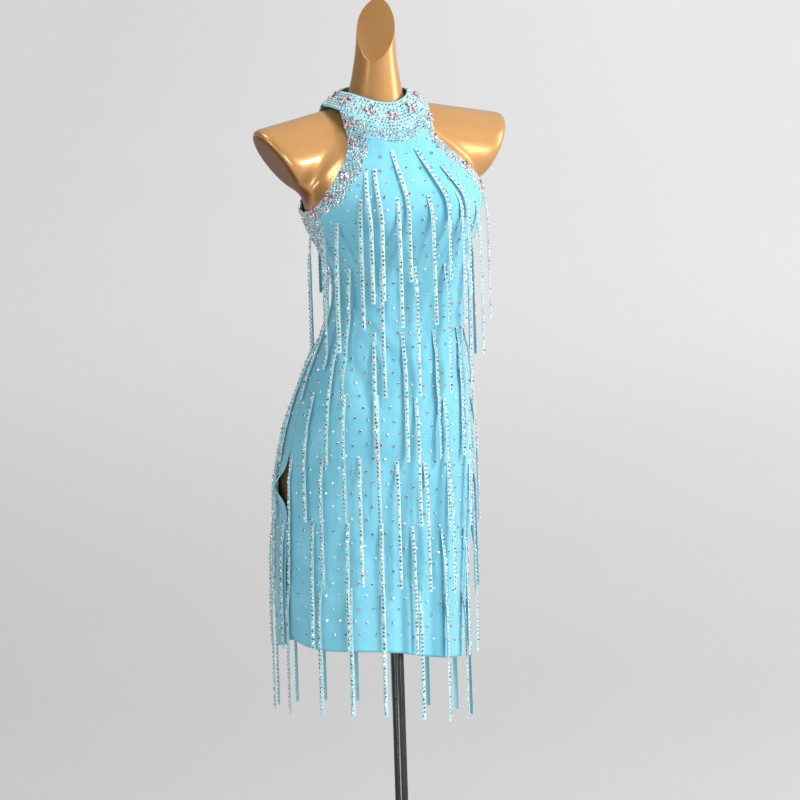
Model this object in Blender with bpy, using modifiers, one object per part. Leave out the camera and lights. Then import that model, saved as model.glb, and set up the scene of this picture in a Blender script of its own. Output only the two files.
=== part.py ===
"""Latin dance dress with eight tiers of fringe, on a limbless dress form and its stand.

Units are metres and +Z is up. The dress faces -Y, so its wearer's right side is at -X. The origin
is the middle of the underside of the base plate. The cloth is described around one upright axis:
each piece is a thin slab between two skins, whose points stand on the same spokes and levels, so
that pieces lying on each other never cross.
"""

import math

import bmesh
import bpy
import numpy as np

OBJECT_NAME = "latin_dance_dress"

# Heights of the dress
HEM_HEIGHT = 0.585
ARMHOLE_HEIGHT = 1.302
SLIT_TOP_HEIGHT = 0.903

# Cloth
CLOTH_THICKNESS = 0.0012
SEAM_GAP = 0.0003
CLOTH_CLEARANCE = 0.0030  # between the form and the inside of the cloth
SLIT_HALF_GAP = 0.0030  # each edge of the slit stands back this far at the hem
SEAM_RADIUS = 0.150  # about how far the side seams stand from the axis
PANEL_BLEND = 0.004

# The hip stands out to the wearer's right, so the skirt's rows rise towards that side.
HIP_TILT = 0.018
TILT_HEIGHTS = (0.950, 1.160)  # fully tilted below the first, level above the second

# Fringe: eight tiers of strips, each twice as long as the step between two tiers
TIER_COUNT = 8
TIER_STEP = 0.105
LEVELS_PER_TIER = 2
STRIP_LEVELS = 2 * LEVELS_PER_TIER
FRINGE_THICKNESS = 0.0010
FRINGE_GAP = 0.0005
BODICE_GAP = 0.0045  # under the top tier, where the cloth's own rows bend away from the level

# The upright axis that the cloth's spokes leave from
AXIS_X = -0.010
SPOKES_PER_HALF = 16
SUPERELLIPSE = 2.2

# Neckband: a stand collar around the neck, higher at the back, meeting itself at the centre back
NECK_X = -0.009
BAND_TOP = {"front": 1.475, "side": 1.492, "back": 1.495}
BAND_FOOT = {"front": 1.430, "side": 1.472, "back": 1.472}
BAND_TOP_RADIUS = {"front": 0.051, "side": 0.053, "back": 0.056}
BAND_FOOT_RADIUS = {"front": 0.071, "side": 0.087, "back": 0.078}
BAND_SEAM_TURN = 20.0  # degrees round from the side at which the panels' seam to the band starts

# Dress form
FORM_FOOT_HEIGHT = 0.660
NECK_CUT_HEIGHT = 1.545
NECK_CUT_TURN = math.radians(-38.0)
NECK_CUT_RISE = math.radians(35.0)

# Stand
BASE_RADIUS = 0.170
BASE_THICKNESS = 0.008
BASE_BEVEL = 0.002
HUB_RADIUS = 0.024
HUB_HEIGHT = 0.045
POLE_RADIUS = 0.0105
POLE_FOOT_HEIGHT = 0.0083
FLANGE_RADIUS = 0.045
FLANGE_THICKNESS = 0.006
SLEEVE_RADIUS = 0.017
SLEEVE_LENGTH = 0.050
FIT_GAP = 0.0003
ROUND_STEPS = 32

# The dress's outer form at each level: half its width, how far its front and its back stand from
# the axis of the pole, and how far its middle is shifted sideways.
COLUMNS = ("height", "half_width", "front", "back", "shift")
DRESS_SECTIONS = (
    (0.470, 0.158, 0.086, 0.127, -0.040),
    (0.585, 0.159, 0.086, 0.128, -0.037),
    (0.700, 0.164, 0.086, 0.130, -0.032),
    (0.800, 0.168, 0.088, 0.132, -0.024),
    (0.860, 0.168, 0.090, 0.133, -0.021),
    (0.900, 0.166, 0.094, 0.129, -0.020),
    (0.970, 0.154, 0.098, 0.112, -0.016),
    (1.040, 0.138, 0.098, 0.088, -0.008),
    (1.100, 0.120, 0.094, 0.066, 0.001),
    (1.155, 0.112, 0.092, 0.058, 0.013),
    (1.200, 0.113, 0.099, 0.070, 0.016),
    (1.250, 0.131, 0.115, 0.086, 0.011),
    (1.295, 0.148, 0.127, 0.092, 0.006),
    (1.325, 0.151, 0.124, 0.090, 0.007),
    (1.360, 0.140, 0.108, 0.086, 0.006),
    (1.390, 0.116, 0.091, 0.083, 0.001),
    (1.415, 0.095, 0.078, 0.080, -0.005),
    (1.440, 0.079, 0.067, 0.077, -0.009),
    (1.480, 0.064, 0.055, 0.066, -0.010),
)
# The form itself is the same body a little smaller, with a neck above and slimmer thighs below.
FORM_SECTIONS = (
    (0.640, 0.140, 0.072, 0.106, -0.033),
    (0.700, 0.150, 0.078, 0.114, -0.031),
    (0.780, 0.160, 0.083, 0.124, -0.025),
    *DRESS_SECTIONS[4:-3],
    (1.415, 0.088, 0.072, 0.074, -0.005),
    (1.440, 0.070, 0.057, 0.066, -0.008),
    (1.470, 0.051, 0.048, 0.055, -0.007),
    (1.500, 0.044, 0.043, 0.049, -0.005),
    (1.540, 0.037, 0.038, 0.043, -0.004),
    (1.580, 0.034, 0.034, 0.039, -0.002),
    (1.680, 0.030, 0.030, 0.034, 0.000),
)
BUST = {"height": 1.305, "turn": math.radians(27.0), "rise": 0.009}
BUST_SPREAD = {"height": 0.042, "turn": 0.30}

# The armhole's edge: its height, and how far round from the side it lies on the front and the back
ARMHOLE_COLUMNS = ("height", "front_turn", "back_turn", "middle_height")
ARMHOLE = (
    (1.3020, 0.0, 0.0, 1.3020),
    (1.3045, 7.0, 7.0, 1.3090),
    (1.3110, 14.0, 14.0, 1.3180),
    (1.3260, 21.5, 22.0, 1.3320),
    (1.3430, 26.0, 28.0, 1.3480),
    (1.3620, 30.0, 33.0, 1.3640),
    (1.3900, 33.5, 37.0, 1.3850),
    (1.4200, 31.5, 37.0, 1.4060),
)

LEFT_ARMHOLE = 0.82  # the wearer's left armhole is cut in less, as the dress sits turned on the form

# Arm stubs: an oval tube through both shoulders, cut at a slant at each end
SHOULDER = {"depth": 0.047, "height": 0.060, "set_back": 0.012, "slope": 0.19, "middle": 1.410}
ARM_CUTS = (
    {"point": (-0.187, 0.0, 1.385), "turn_down": math.radians(36.0), "side": -1.0},
    {"point": (0.205, 0.0, 1.385), "turn_down": math.radians(28.0), "side": 1.0},
)
SHOULDER_BLEND = 0.024
RIM_BLEND = 0.016


# ---------------------------------------------------------------- scene, materials and solids


def clear_scene():
    for thing in list(bpy.data.objects):
        bpy.data.objects.remove(thing, do_unlink=True)


def new_collection(name):
    collection = bpy.data.collections.new(name)
    bpy.context.scene.collection.children.link(collection)
    return collection


def new_material(name, colour, roughness, metallic=0.0):
    material = bpy.data.materials.new(name)
    material.use_nodes = True
    shader = material.node_tree.nodes["Principled BSDF"]
    shader.inputs["Base Color"].default_value = (*colour, 1.0)
    shader.inputs["Roughness"].default_value = roughness
    shader.inputs["Metallic"].default_value = metallic
    material.diffuse_color = (*colour, 1.0)
    return material


def add_mesh_object(name, mesh, material, collection):
    obj = bpy.data.objects.new(name, mesh)
    obj.data.materials.append(material)
    collection.objects.link(obj)
    mesh.shade_smooth()
    mesh.set_sharp_from_angle(angle=math.radians(35.0))
    return obj


def add_turned(name, profile, material, collection):
    """A turned piece: a profile of (radius, height) from the top down its outer side."""
    mesh = bpy.data.meshes.new(name)
    points = [(radius, 0.0, height) for radius, height in profile]
    edges = [(i, i + 1) for i in range(len(points) - 1)]
    mesh.from_pydata(points, edges, [])
    obj = bpy.data.objects.new(name, mesh)
    obj.data.materials.append(material)
    collection.objects.link(obj)
    screw = obj.modifiers.new("turn", "SCREW")
    screw.steps = ROUND_STEPS
    screw.render_steps = ROUND_STEPS
    screw.use_merge_vertices = True
    screw.merge_threshold = 0.00001
    return obj


def add_slab(name, outer, inner, material, collection):
    """A thin closed solid between two grids of points with the same rows and columns.

    Rows run from the bottom up and columns run anticlockwise seen from above, so that the outer
    skin faces out.
    """
    rows, columns = outer.shape[:2]
    count = rows * columns
    points = np.concatenate([outer.reshape(-1, 3), inner.reshape(-1, 3)])
    faces = []
    for i in range(rows - 1):
        for j in range(columns - 1):
            a = i * columns + j
            b = a + columns
            for corners in ((a, a + 1, b + 1), (a, b + 1, b)):
                faces.append(corners)
                faces.append(tuple(corner + count for corner in reversed(corners)))
    rim = [j for j in range(columns)]
    rim += [i * columns + columns - 1 for i in range(1, rows)]
    rim += [(rows - 1) * columns + j for j in range(columns - 2, -1, -1)]
    rim += [i * columns for i in range(rows - 2, 0, -1)]
    for here, there in zip(rim, rim[1:] + rim[:1]):
        faces.append((there, here, here + count, there + count))
    mesh = bpy.data.meshes.new(name)
    mesh.from_pydata(points.tolist(), [], faces)
    return add_mesh_object(name, mesh, material, collection)


# ---------------------------------------------------------------- the body's form


def eased(levels, values, heights):
    """A smooth curve through a table's values, read at any heights (cubic Hermite)."""
    levels = np.asarray(levels, float)
    values = np.asarray(values, float)
    slopes = np.gradient(values, levels)
    heights = np.clip(heights, levels[0], levels[-1])
    i = np.clip(np.searchsorted(levels, heights) - 1, 0, len(levels) - 2)
    step = levels[i + 1] - levels[i]
    t = (heights - levels[i]) / step
    rise = (3 - 2 * t) * t * t
    start = t * (1 - t) ** 2
    end = t * t * (t - 1)
    return (
        values[i]
        + (values[i + 1] - values[i]) * rise
        + step * (slopes[i] * start + slopes[i + 1] * end)
    )


def section_radius(sections, angles, heights):
    """How far the oval section reaches from the axis, at each angle and height."""
    table = dict(zip(COLUMNS, np.array(sections).T))
    value = {
        name: eased(table["height"], table[name], heights) for name in COLUMNS[1:]
    }
    half_depth = (value["front"] + value["back"]) / 2
    middle_y = (value["back"] - value["front"]) / 2
    near = np.zeros_like(angles)
    far = np.full_like(angles, 0.4)
    for _ in range(30):
        radius = (near + far) / 2
        x = np.abs(AXIS_X + radius * np.cos(angles) - value["shift"]) / value["half_width"]
        y = np.abs(radius * np.sin(angles) - middle_y) / half_depth
        inside = x**SUPERELLIPSE + y**SUPERELLIPSE < 1
        near = np.where(inside, radius, near)
        far = np.where(inside, far, radius)
    return near + bust_rise(angles, heights)


def bust_rise(angles, heights):
    """Two soft rises on the front, one to each side of the centre."""
    fall = np.exp(-(((heights - BUST["height"]) / BUST_SPREAD["height"]) ** 2))
    turn = np.mod(angles, math.tau) - 1.5 * math.pi
    lobes = np.exp(-(((np.abs(turn) - BUST["turn"]) / BUST_SPREAD["turn"]) ** 2))
    return BUST["rise"] * fall * lobes


def smooth_min(a, b, blend):
    mix = np.clip(0.5 + 0.5 * (b - a) / blend, 0, 1)
    return b + (a - b) * mix - blend * mix * (1 - mix)


def form_radius(angles, heights):
    """The dress form's radius: the body, joined softly to the arm stubs, which end in slant cuts."""
    body = section_radius(FORM_SECTIONS, angles, heights) - CLOTH_CLEARANCE - CLOTH_THICKNESS
    reach = np.linspace(0.02, 0.28, 131).reshape(-1, *([1] * np.ndim(angles)))
    x = AXIS_X + reach * np.cos(angles)
    y = reach * np.sin(angles)
    middle = SHOULDER["middle"] - SHOULDER["slope"] * np.maximum(np.abs(x) - 0.06, 0)
    across = (y - SHOULDER["set_back"]) / SHOULDER["depth"]
    along = (heights - middle) / SHOULDER["height"]
    stub = (np.hypot(across, along) - 1) * SHOULDER["depth"]
    for cut in ARM_CUTS:
        ahead = cut["side"] * math.cos(cut["turn_down"]) * (x - cut["point"][0])
        below = -math.sin(cut["turn_down"]) * (heights - cut["point"][2])
        stub = -smooth_min(-stub, -(ahead + below), RIM_BLEND)
    field = smooth_min(reach - body, stub, SHOULDER_BLEND)
    last = len(field) - 1 - np.argmax((field < 0)[::-1], axis=0)
    last = np.clip(last, 0, len(field) - 2)
    low = np.take_along_axis(field, last[None], 0)[0]
    high = np.take_along_axis(field, last[None] + 1, 0)[0]
    step = reach.ravel()[1] - reach.ravel()[0]
    return reach.ravel()[last] + step * np.clip(low / (low - high), 0, 1)


def dress_radius(angles, heights):
    """The outside of the cloth: the dress's own section, or the form where that stands out more."""
    own = section_radius(DRESS_SECTIONS, angles, heights)
    over_form = form_radius(angles, heights) + CLOTH_CLEARANCE + CLOTH_THICKNESS
    return -smooth_min(-own, -over_form, PANEL_BLEND)


def at(angles, radii, heights, centre_x=AXIS_X):
    """Points from polar coordinates, as a grid."""
    x = centre_x + radii * np.cos(angles)
    return np.stack([x, radii * np.sin(angles), heights + 0 * angles], axis=-1)


# ---------------------------------------------------------------- the lattice that all cloth shares


def tier_level(tier):
    """The lattice level of the top of a tier, counted from the hem. Tier 1 is the highest."""
    return (TIER_COUNT + 1 - tier) * LEVELS_PER_TIER


def level_height(level):
    return HEM_HEIGHT + TIER_STEP / LEVELS_PER_TIER * level


def slit_gap(heights):
    """Half the opening between the front and the back panel at the wearer's right side."""
    share = np.clip((SLIT_TOP_HEIGHT - heights) / (SLIT_TOP_HEIGHT - HEM_HEIGHT), 0, 1)
    return SEAM_GAP / 2 + SLIT_HALF_GAP * np.sqrt(share)


def half_angles(half, heights):
    """The spokes of the front or the back half, a row for each height, ends drawn in at the seams."""
    start = math.pi if half == "front" else 0.0
    spokes = start + np.linspace(0, math.pi, SPOKES_PER_HALF + 1)
    angles = np.repeat(spokes[None], len(heights), axis=0)
    right = slit_gap(heights) / SEAM_RADIUS
    left = np.full(len(heights), SEAM_GAP / 2 / SEAM_RADIUS)
    angles[:, 0] += right if half == "front" else left
    angles[:, -1] -= left if half == "front" else right
    return angles


def lattice(half, levels):
    """Angles and heights of the lattice points of one half at the levels given."""
    heights = np.array([level_height(level) for level in levels])
    angles = half_angles(half, heights)
    return angles, tilted(angles, heights[:, None])


def tilted(angles, heights):
    """The heights of the rows' points, raised or lowered around the hips."""
    share = np.clip((TILT_HEIGHTS[1] - heights) / (TILT_HEIGHTS[1] - TILT_HEIGHTS[0]), 0, 1)
    return heights - HIP_TILT * share * share * (3 - 2 * share) * np.cos(angles)


# ---------------------------------------------------------------- pieces


def band_value(values, angles):
    """A value that goes smoothly from the front, over the sides, to the back."""
    front = np.clip(-np.sin(angles), 0, 1) ** 2
    back = np.clip(np.sin(angles), 0, 1) ** 2
    side = 1 - front - back
    return values["front"] * front + values["side"] * side + values["back"] * back


def band_foot(angles):
    """Points of the neckband's lower edge, on its outside."""
    height = band_value(BAND_FOOT, angles)
    return at(angles, band_value(BAND_FOOT_RADIUS, angles), height, NECK_X)


def add_panel(half, material, collection):
    """The front or the back of the dress, from the hem to the neckband, with the armholes cut in."""
    levels = np.arange(0, tier_level(2))
    angles, heights = lattice(half, levels)
    middle = 1.5 * math.pi if half == "front" else 0.5 * math.pi
    left = 1 if half == "front" else -1
    share = np.linspace(-1, 1, SPOKES_PER_HALF + 1)
    for row in ARMHOLE:
        edge = dict(zip(ARMHOLE_COLUMNS, row))
        turn = math.radians(edge[half + "_turn"]) * np.where(share * left > 0, LEFT_ARMHOLE, 1.0)
        reach = math.pi / 2 - turn - SEAM_GAP / 2 / SEAM_RADIUS
        row_height = edge["middle_height"] + (edge["height"] - edge["middle_height"]) * share**4
        angles = np.vstack([angles, middle + share * reach])
        heights = np.vstack([heights, row_height])
    radii = dress_radius(angles, heights)
    top = band_foot(middle + share * (math.pi / 2 - math.radians(BAND_SEAM_TURN)))
    top_radii = np.hypot(top[:, 0] - AXIS_X, top[:, 1])
    top_angles = np.mod(np.arctan2(top[:, 1], top[:, 0] - AXIS_X), math.tau)
    row_angles, row_heights, row_radii = angles[-1], heights[-1], radii[-1]
    for part in (0.25, 0.5, 0.75, 1.0):
        mixed = row_angles + (top_angles - row_angles) * part
        raised = row_heights + (top[:, 2] - SEAM_GAP - row_heights) * part
        least = form_radius(mixed, raised) + CLOTH_CLEARANCE + CLOTH_THICKNESS
        reach = row_radii + (top_radii - row_radii) * part
        angles = np.vstack([angles, mixed])
        heights = np.vstack([heights, raised])
        radii = np.vstack([radii, reach if part == 1 else np.maximum(reach, least)])
    outer = at(angles, radii, heights)
    inner = at(angles, radii - CLOTH_THICKNESS, heights)
    return add_slab("dress_" + half, outer, inner, material, collection)


def add_neckband(material, collection):
    ends = SEAM_GAP / BAND_FOOT_RADIUS["back"]
    angles = np.linspace(math.pi / 2 + ends, math.pi * 2.5 - ends, 33)
    rows = []
    for share in (0.0, 0.35, 0.7, 1.0):
        foot = band_foot(angles)
        top_height = band_value(BAND_TOP, angles)
        top = at(angles, band_value(BAND_TOP_RADIUS, angles), top_height, NECK_X)
        rows.append(foot + (top - foot) * share)
    outer = np.array(rows)
    inward = np.array([NECK_X, 0.0, 0.0]) - outer
    inward[..., 2] = 0
    inward /= np.linalg.norm(inward, axis=-1, keepdims=True)
    inner = outer + inward * CLOTH_THICKNESS * 1.5
    return add_slab("neckband", outer, inner, material, collection)


def add_fringe(half, material, collection):
    """The reach of the strips of each tier, from the lowest up, each one lying over the next lower.

    A strip hangs plumb from where it is sewn on, so its reach never comes back in below a part that
    stands out.
    """
    below = None
    for tier in range(TIER_COUNT, 0, -1):
        top = tier_level(tier)
        levels = np.arange(top - STRIP_LEVELS, top + 1)
        if tier == 2:
            levels = levels[:-1]
        columns = slice(None)
        if tier == 1:
            levels = levels[:-1]
            columns = slice(4, -4)
        angles, heights = lattice(half, levels)
        lowest = np.maximum(heights, HEM_HEIGHT)
        gap = np.where(heights > level_height(tier_level(2)) - 0.03, BODICE_GAP, FRINGE_GAP)
        base = dress_radius(angles, lowest) + gap
        if below is not None:
            covered = np.array([level in below for level in levels])
            over = np.array([below.get(level, base[i]) for i, level in enumerate(levels)])
            base = np.where(covered[:, None], np.maximum(base, over + FRINGE_GAP), base)
        for row in range(len(levels) - 2, -1, -1):
            base[row] = np.maximum(base[row], base[row + 1])
        outside = base + FRINGE_THICKNESS
        below = dict(zip(levels, outside))
        outer = at(angles, outside, heights)[:, columns]
        inner = at(angles, base, heights)[:, columns]
        add_slab(f"fringe_{tier}_{half}", outer, inner, material, collection)


def add_form(material, collection):
    """The dress form: one loft from the thighs to the neck, whose top is cut off at a slant."""
    step = math.pi / SPOKES_PER_HALF
    fine = np.linspace(-step, step, 9)[1:-1]
    angles = np.arange(2 * SPOKES_PER_HALF) * step
    angles = np.unique(np.round(np.mod(np.concatenate([angles, fine, fine + math.pi]), math.tau), 6))
    spokes = len(angles)
    shared = np.array([level_height(level) for level in range(tier_level(2))])
    levels = np.concatenate(
        [
            [FORM_FOOT_HEIGHT],
            shared[shared > FORM_FOOT_HEIGHT + 0.01],
            np.linspace(ARMHOLE_HEIGHT, 1.400, 9),
            np.linspace(1.412, 1.472, 8),
            np.array([1.485, 1.505, 1.535, 1.600, 1.680]),
        ]
    )
    grid_angles, grid_heights = np.meshgrid(angles, levels)
    points = at(grid_angles, form_radius(grid_angles, grid_heights), grid_heights)
    faces = [tuple(range(spokes - 1, -1, -1))]
    for i in range(len(levels) - 1):
        for j in range(spokes):
            k = (j + 1) % spokes
            low = i * spokes
            high = low + spokes
            faces.append((low + j, low + k, high + k, high + j))
    faces.append(tuple((len(levels) - 1) * spokes + j for j in range(spokes)))
    mesh = bpy.data.meshes.new("form_torso")
    mesh.from_pydata(points.reshape(-1, 3).tolist(), [], faces)
    cut_neck(mesh)
    return add_mesh_object("form_torso", mesh, material, collection)


def cut_neck(mesh):
    """Cuts the neck's top off at a slant and closes the cut with a flat face."""
    level = math.cos(NECK_CUT_RISE)
    normal = (
        math.sin(NECK_CUT_TURN) * level,
        -math.cos(NECK_CUT_TURN) * level,
        math.sin(NECK_CUT_RISE),
    )
    front = form_radius(np.array([1.5 * math.pi]), np.array([NECK_CUT_HEIGHT]))[0]
    point = (AXIS_X + front * normal[0], front * normal[1], NECK_CUT_HEIGHT)
    shape = bmesh.new()
    shape.from_mesh(mesh)
    cut = bmesh.ops.bisect_plane(
        shape,
        geom=shape.verts[:] + shape.edges[:] + shape.faces[:],
        plane_co=point,
        plane_no=normal,
        clear_outer=True,
    )
    edges = [item for item in cut["geom_cut"] if isinstance(item, bmesh.types.BMEdge)]
    bmesh.ops.contextual_create(shape, geom=edges)
    shape.to_mesh(mesh)
    shape.free()


def add_stand(steel, dark_steel, collection):
    """The round base plate, the hub on it, the pole, and the flange that the form is screwed to."""
    bevel = BASE_BEVEL
    add_turned(
        "stand_base",
        (
            (0.0, BASE_THICKNESS),
            (BASE_RADIUS - bevel, BASE_THICKNESS),
            (BASE_RADIUS, BASE_THICKNESS - bevel),
            (BASE_RADIUS, 0.0),
            (0.0, 0.0),
        ),
        dark_steel,
        collection,
    )
    hub_foot = BASE_THICKNESS + FIT_GAP
    bore = POLE_RADIUS + FIT_GAP
    add_turned(
        "stand_hub",
        (
            (bore, hub_foot + HUB_HEIGHT),
            (HUB_RADIUS - 0.006, hub_foot + HUB_HEIGHT),
            (HUB_RADIUS - 0.004, hub_foot + HUB_HEIGHT - 0.002),
            (HUB_RADIUS - 0.004, hub_foot + 0.012),
            (HUB_RADIUS + 0.010, hub_foot + 0.004),
            (HUB_RADIUS + 0.010, hub_foot),
            (bore, hub_foot),
            (bore, hub_foot + HUB_HEIGHT),
        ),
        steel,
        collection,
    )
    flange_top = FORM_FOOT_HEIGHT - FIT_GAP
    pole_top = flange_top - FLANGE_THICKNESS - FIT_GAP
    add_turned(
        "stand_pole",
        (
            (0.0, pole_top),
            (POLE_RADIUS, pole_top),
            (POLE_RADIUS, POLE_FOOT_HEIGHT),
            (0.0, POLE_FOOT_HEIGHT),
        ),
        steel,
        collection,
    )
    add_turned(
        "form_flange",
        (
            (0.0, flange_top),
            (FLANGE_RADIUS, flange_top),
            (FLANGE_RADIUS, flange_top - FLANGE_THICKNESS),
            (SLEEVE_RADIUS, flange_top - FLANGE_THICKNESS),
            (SLEEVE_RADIUS, flange_top - SLEEVE_LENGTH),
            (bore, flange_top - SLEEVE_LENGTH),
            (bore, flange_top - FLANGE_THICKNESS),
            (0.0, flange_top - FLANGE_THICKNESS),
        ),
        steel,
        collection,
    )


clear_scene()
parts = new_collection(OBJECT_NAME)
jersey = new_material("aqua_jersey", (0.17, 0.60, 0.74), 0.45)
band_cloth = new_material("stoned_band_cloth", (0.30, 0.62, 0.66), 0.40)
strip_cloth = new_material("fringe_strips", (0.24, 0.66, 0.78), 0.45)
gold_skin = new_material("gold_lacquered_form", (0.62, 0.36, 0.12), 0.22, 0.85)
pole_steel = new_material("polished_steel", (0.30, 0.31, 0.31), 0.22, 1.0)
base_steel = new_material("brushed_base_steel", (0.32, 0.32, 0.33), 0.35, 1.0)
add_stand(pole_steel, base_steel, parts)
add_form(gold_skin, parts)
add_neckband(band_cloth, parts)
for side in ("front", "back"):
    add_panel(side, jersey, parts)
    add_fringe(side, strip_cloth, parts)
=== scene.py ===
"""A latin dance dress in aqua stretch jersey, on a gold limbless form and its steel stand."""

import math

import bpy
import numpy as np
from mathutils import Matrix, Vector


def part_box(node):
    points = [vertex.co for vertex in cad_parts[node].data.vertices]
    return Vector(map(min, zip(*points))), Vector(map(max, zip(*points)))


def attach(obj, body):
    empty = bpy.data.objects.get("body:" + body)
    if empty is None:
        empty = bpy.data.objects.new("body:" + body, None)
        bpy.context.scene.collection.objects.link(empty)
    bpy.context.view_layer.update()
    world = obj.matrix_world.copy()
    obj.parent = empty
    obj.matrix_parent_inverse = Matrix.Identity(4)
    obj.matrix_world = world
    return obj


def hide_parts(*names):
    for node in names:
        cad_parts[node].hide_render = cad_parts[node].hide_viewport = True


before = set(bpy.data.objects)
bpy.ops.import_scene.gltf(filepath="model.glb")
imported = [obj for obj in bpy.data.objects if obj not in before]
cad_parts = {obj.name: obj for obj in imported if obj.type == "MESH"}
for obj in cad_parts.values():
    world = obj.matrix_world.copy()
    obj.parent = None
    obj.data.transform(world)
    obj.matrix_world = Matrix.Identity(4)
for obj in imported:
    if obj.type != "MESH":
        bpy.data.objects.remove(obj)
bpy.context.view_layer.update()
bpy.ops.object.select_all(action="DESELECT")


# ------------------------------------------------------------ studio
# A long lens a little above the dress and to the wearer's right, over one seamless pale floor. A
# hazy sun and a window light it from the right; a narrow strip on the left and small softboxes low
# in front and over the shoulder give the lacquer its glints, and one at the chest fills.


def linear(hex_colour):
    """An sRGB hex colour as linear red, green, blue and alpha."""
    channels = [int(hex_colour[i : i + 2], 16) / 255 for i in (1, 3, 5)]
    turned = [c / 12.92 if c <= 0.04045 else ((c + 0.055) / 1.055) ** 2.4 for c in channels]
    return (*turned, 1.0)


def add_node(tree, kind, inputs=None, **settings):
    """Adds a node, sets its properties, and fills its inputs with values or links."""
    made = tree.nodes.new(kind)
    for name, value in settings.items():
        setattr(made, name, value)
    for name, value in (inputs or {}).items():
        if isinstance(value, bpy.types.NodeSocket):
            tree.links.new(value, made.inputs[name])
        else:
            made.inputs[name].default_value = value
    return made


def slanted(turn, rise):
    """The direction at a turn from straight ahead of the dress and a rise from level."""
    level = math.cos(rise)
    return Vector((math.sin(turn) * level, -math.cos(turn) * level, math.sin(rise)))


CAMERA_TURN = math.radians(-28.0)
CAMERA_RISE = math.radians(6.8)
CAMERA_ROLL = math.radians(1.8)
CAMERA_DISTANCE = 12.0
CAMERA_LENS = 335.4
DRESS_MIDDLE = Vector((0.0, 0.0, 1.07))
CAMERA_AIM = Vector((0.016, -0.007, 0.989))

to_camera = slanted(CAMERA_TURN, CAMERA_RISE)
camera_right = Vector((math.cos(CAMERA_TURN), math.sin(CAMERA_TURN), 0.0))
camera_data = bpy.data.cameras.new("studio_camera")
camera = bpy.data.objects.new("studio_camera", camera_data)
bpy.context.scene.collection.objects.link(camera)
camera_data.sensor_width = 36.0
camera_data.lens = CAMERA_LENS
camera_data.clip_end = 400.0
camera.location = DRESS_MIDDLE + to_camera * CAMERA_DISTANCE
aim = (CAMERA_AIM - camera.location).to_track_quat("-Z", "Y").to_matrix().to_4x4()
camera.matrix_world = (
    Matrix.Translation(camera.location) @ aim @ Matrix.Rotation(-CAMERA_ROLL, 4, "Z")
)
bpy.context.scene.camera = camera
bpy.context.scene.view_settings.view_transform = "Standard"

bpy.ops.mesh.primitive_plane_add(size=240.0, location=(0.0, 0.0, 0.0))
floor = bpy.context.object
floor.name = "studio_floor"

# The floor's colour holds painted light and shade: darker near the stand and to the left, lighter
# far off and to the right, the two mixed by a faint random mottle.
paper = bpy.data.materials.new("matt_studio_floor_painted_light")
paper.use_nodes = True
tree = paper.node_tree
shader = tree.nodes["Principled BSDF"]
shader.inputs["Roughness"].default_value = 0.9
shader.inputs["Specular IOR Level"].default_value = 0.1
place = add_node(tree, "ShaderNodeTexCoord").outputs["Object"]
cloudy = add_node(tree, "ShaderNodeTexNoise", {"Vector": place, "Scale": 0.6, "Detail": 2.0})
reach = add_node(tree, "ShaderNodeVectorMath", {0: place}, operation="LENGTH")
painted_shade_falloff = add_node(
    tree,
    "ShaderNodeMapRange",
    {"Value": reach.outputs["Value"], 1: 1.0, 2: 12.0, 3: 0.0, 4: 1.0},
    interpolation_type="SMOOTHERSTEP",
)
shade = add_node(
    tree,
    "ShaderNodeMix",
    {0: painted_shade_falloff.outputs[0], 6: linear("#a4a4a4"), 7: linear("#d2d2d2")},
    data_type="RGBA",
)
sideways = add_node(
    tree, "ShaderNodeVectorMath", {0: place, 1: tuple(camera_right)}, operation="DOT_PRODUCT"
)
across = add_node(
    tree, "ShaderNodeMapRange", {"Value": sideways.outputs["Value"], 1: -1.2, 2: 1.2}
)
painted_side_light = add_node(
    tree,
    "ShaderNodeMix",
    {0: across.outputs[0], 6: linear("#b9b9b9"), 7: linear("#e1e0e1")},
    data_type="RGBA",
)
patchy = add_node(tree, "ShaderNodeMapRange", {"Value": cloudy.outputs["Fac"], 3: 0.42, 4: 0.58})
patchy_painted_floor_light = add_node(
    tree,
    "ShaderNodeMix",
    {0: patchy.outputs[0], 6: shade.outputs[2], 7: painted_side_light.outputs[2]},
    data_type="RGBA",
)
tree.links.new(patchy_painted_floor_light.outputs[2], shader.inputs["Base Color"])
floor.data.materials.append(paper)

# The room: the camera sees an even pale wall, while the pieces are lit by a room that is bright
# overhead and on the right and dim on the left.
world = bpy.data.worlds.new("studio_room")
bpy.context.scene.world = world
world.use_nodes = True
tree = world.node_tree
tree.nodes.clear()
direction = add_node(tree, "ShaderNodeTexCoord").outputs["Generated"]
toward_key = add_node(
    tree,
    "ShaderNodeVectorMath",
    {0: direction, 1: tuple(camera_right * 0.8 + Vector((0.0, 0.0, 0.6)))},
    operation="DOT_PRODUCT",
)
room = add_node(
    tree,
    "ShaderNodeMapRange",
    {"Value": toward_key.outputs["Value"], 1: -0.8, 2: 0.9, 3: 0.05, 4: 0.85},
)
lit_room = add_node(
    tree, "ShaderNodeBackground", {"Color": linear("#f8f9fb"), "Strength": room.outputs[0]}
)
seen_wall = add_node(tree, "ShaderNodeBackground", {"Color": linear("#e6e6e6"), "Strength": 1.0})
is_seen = add_node(tree, "ShaderNodeLightPath").outputs["Is Camera Ray"]
both = add_node(
    tree, "ShaderNodeMixShader", {0: is_seen, 1: lit_room.outputs[0], 2: seen_wall.outputs[0]}
)
add_node(tree, "ShaderNodeOutputWorld", {"Surface": both.outputs[0]})


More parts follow.
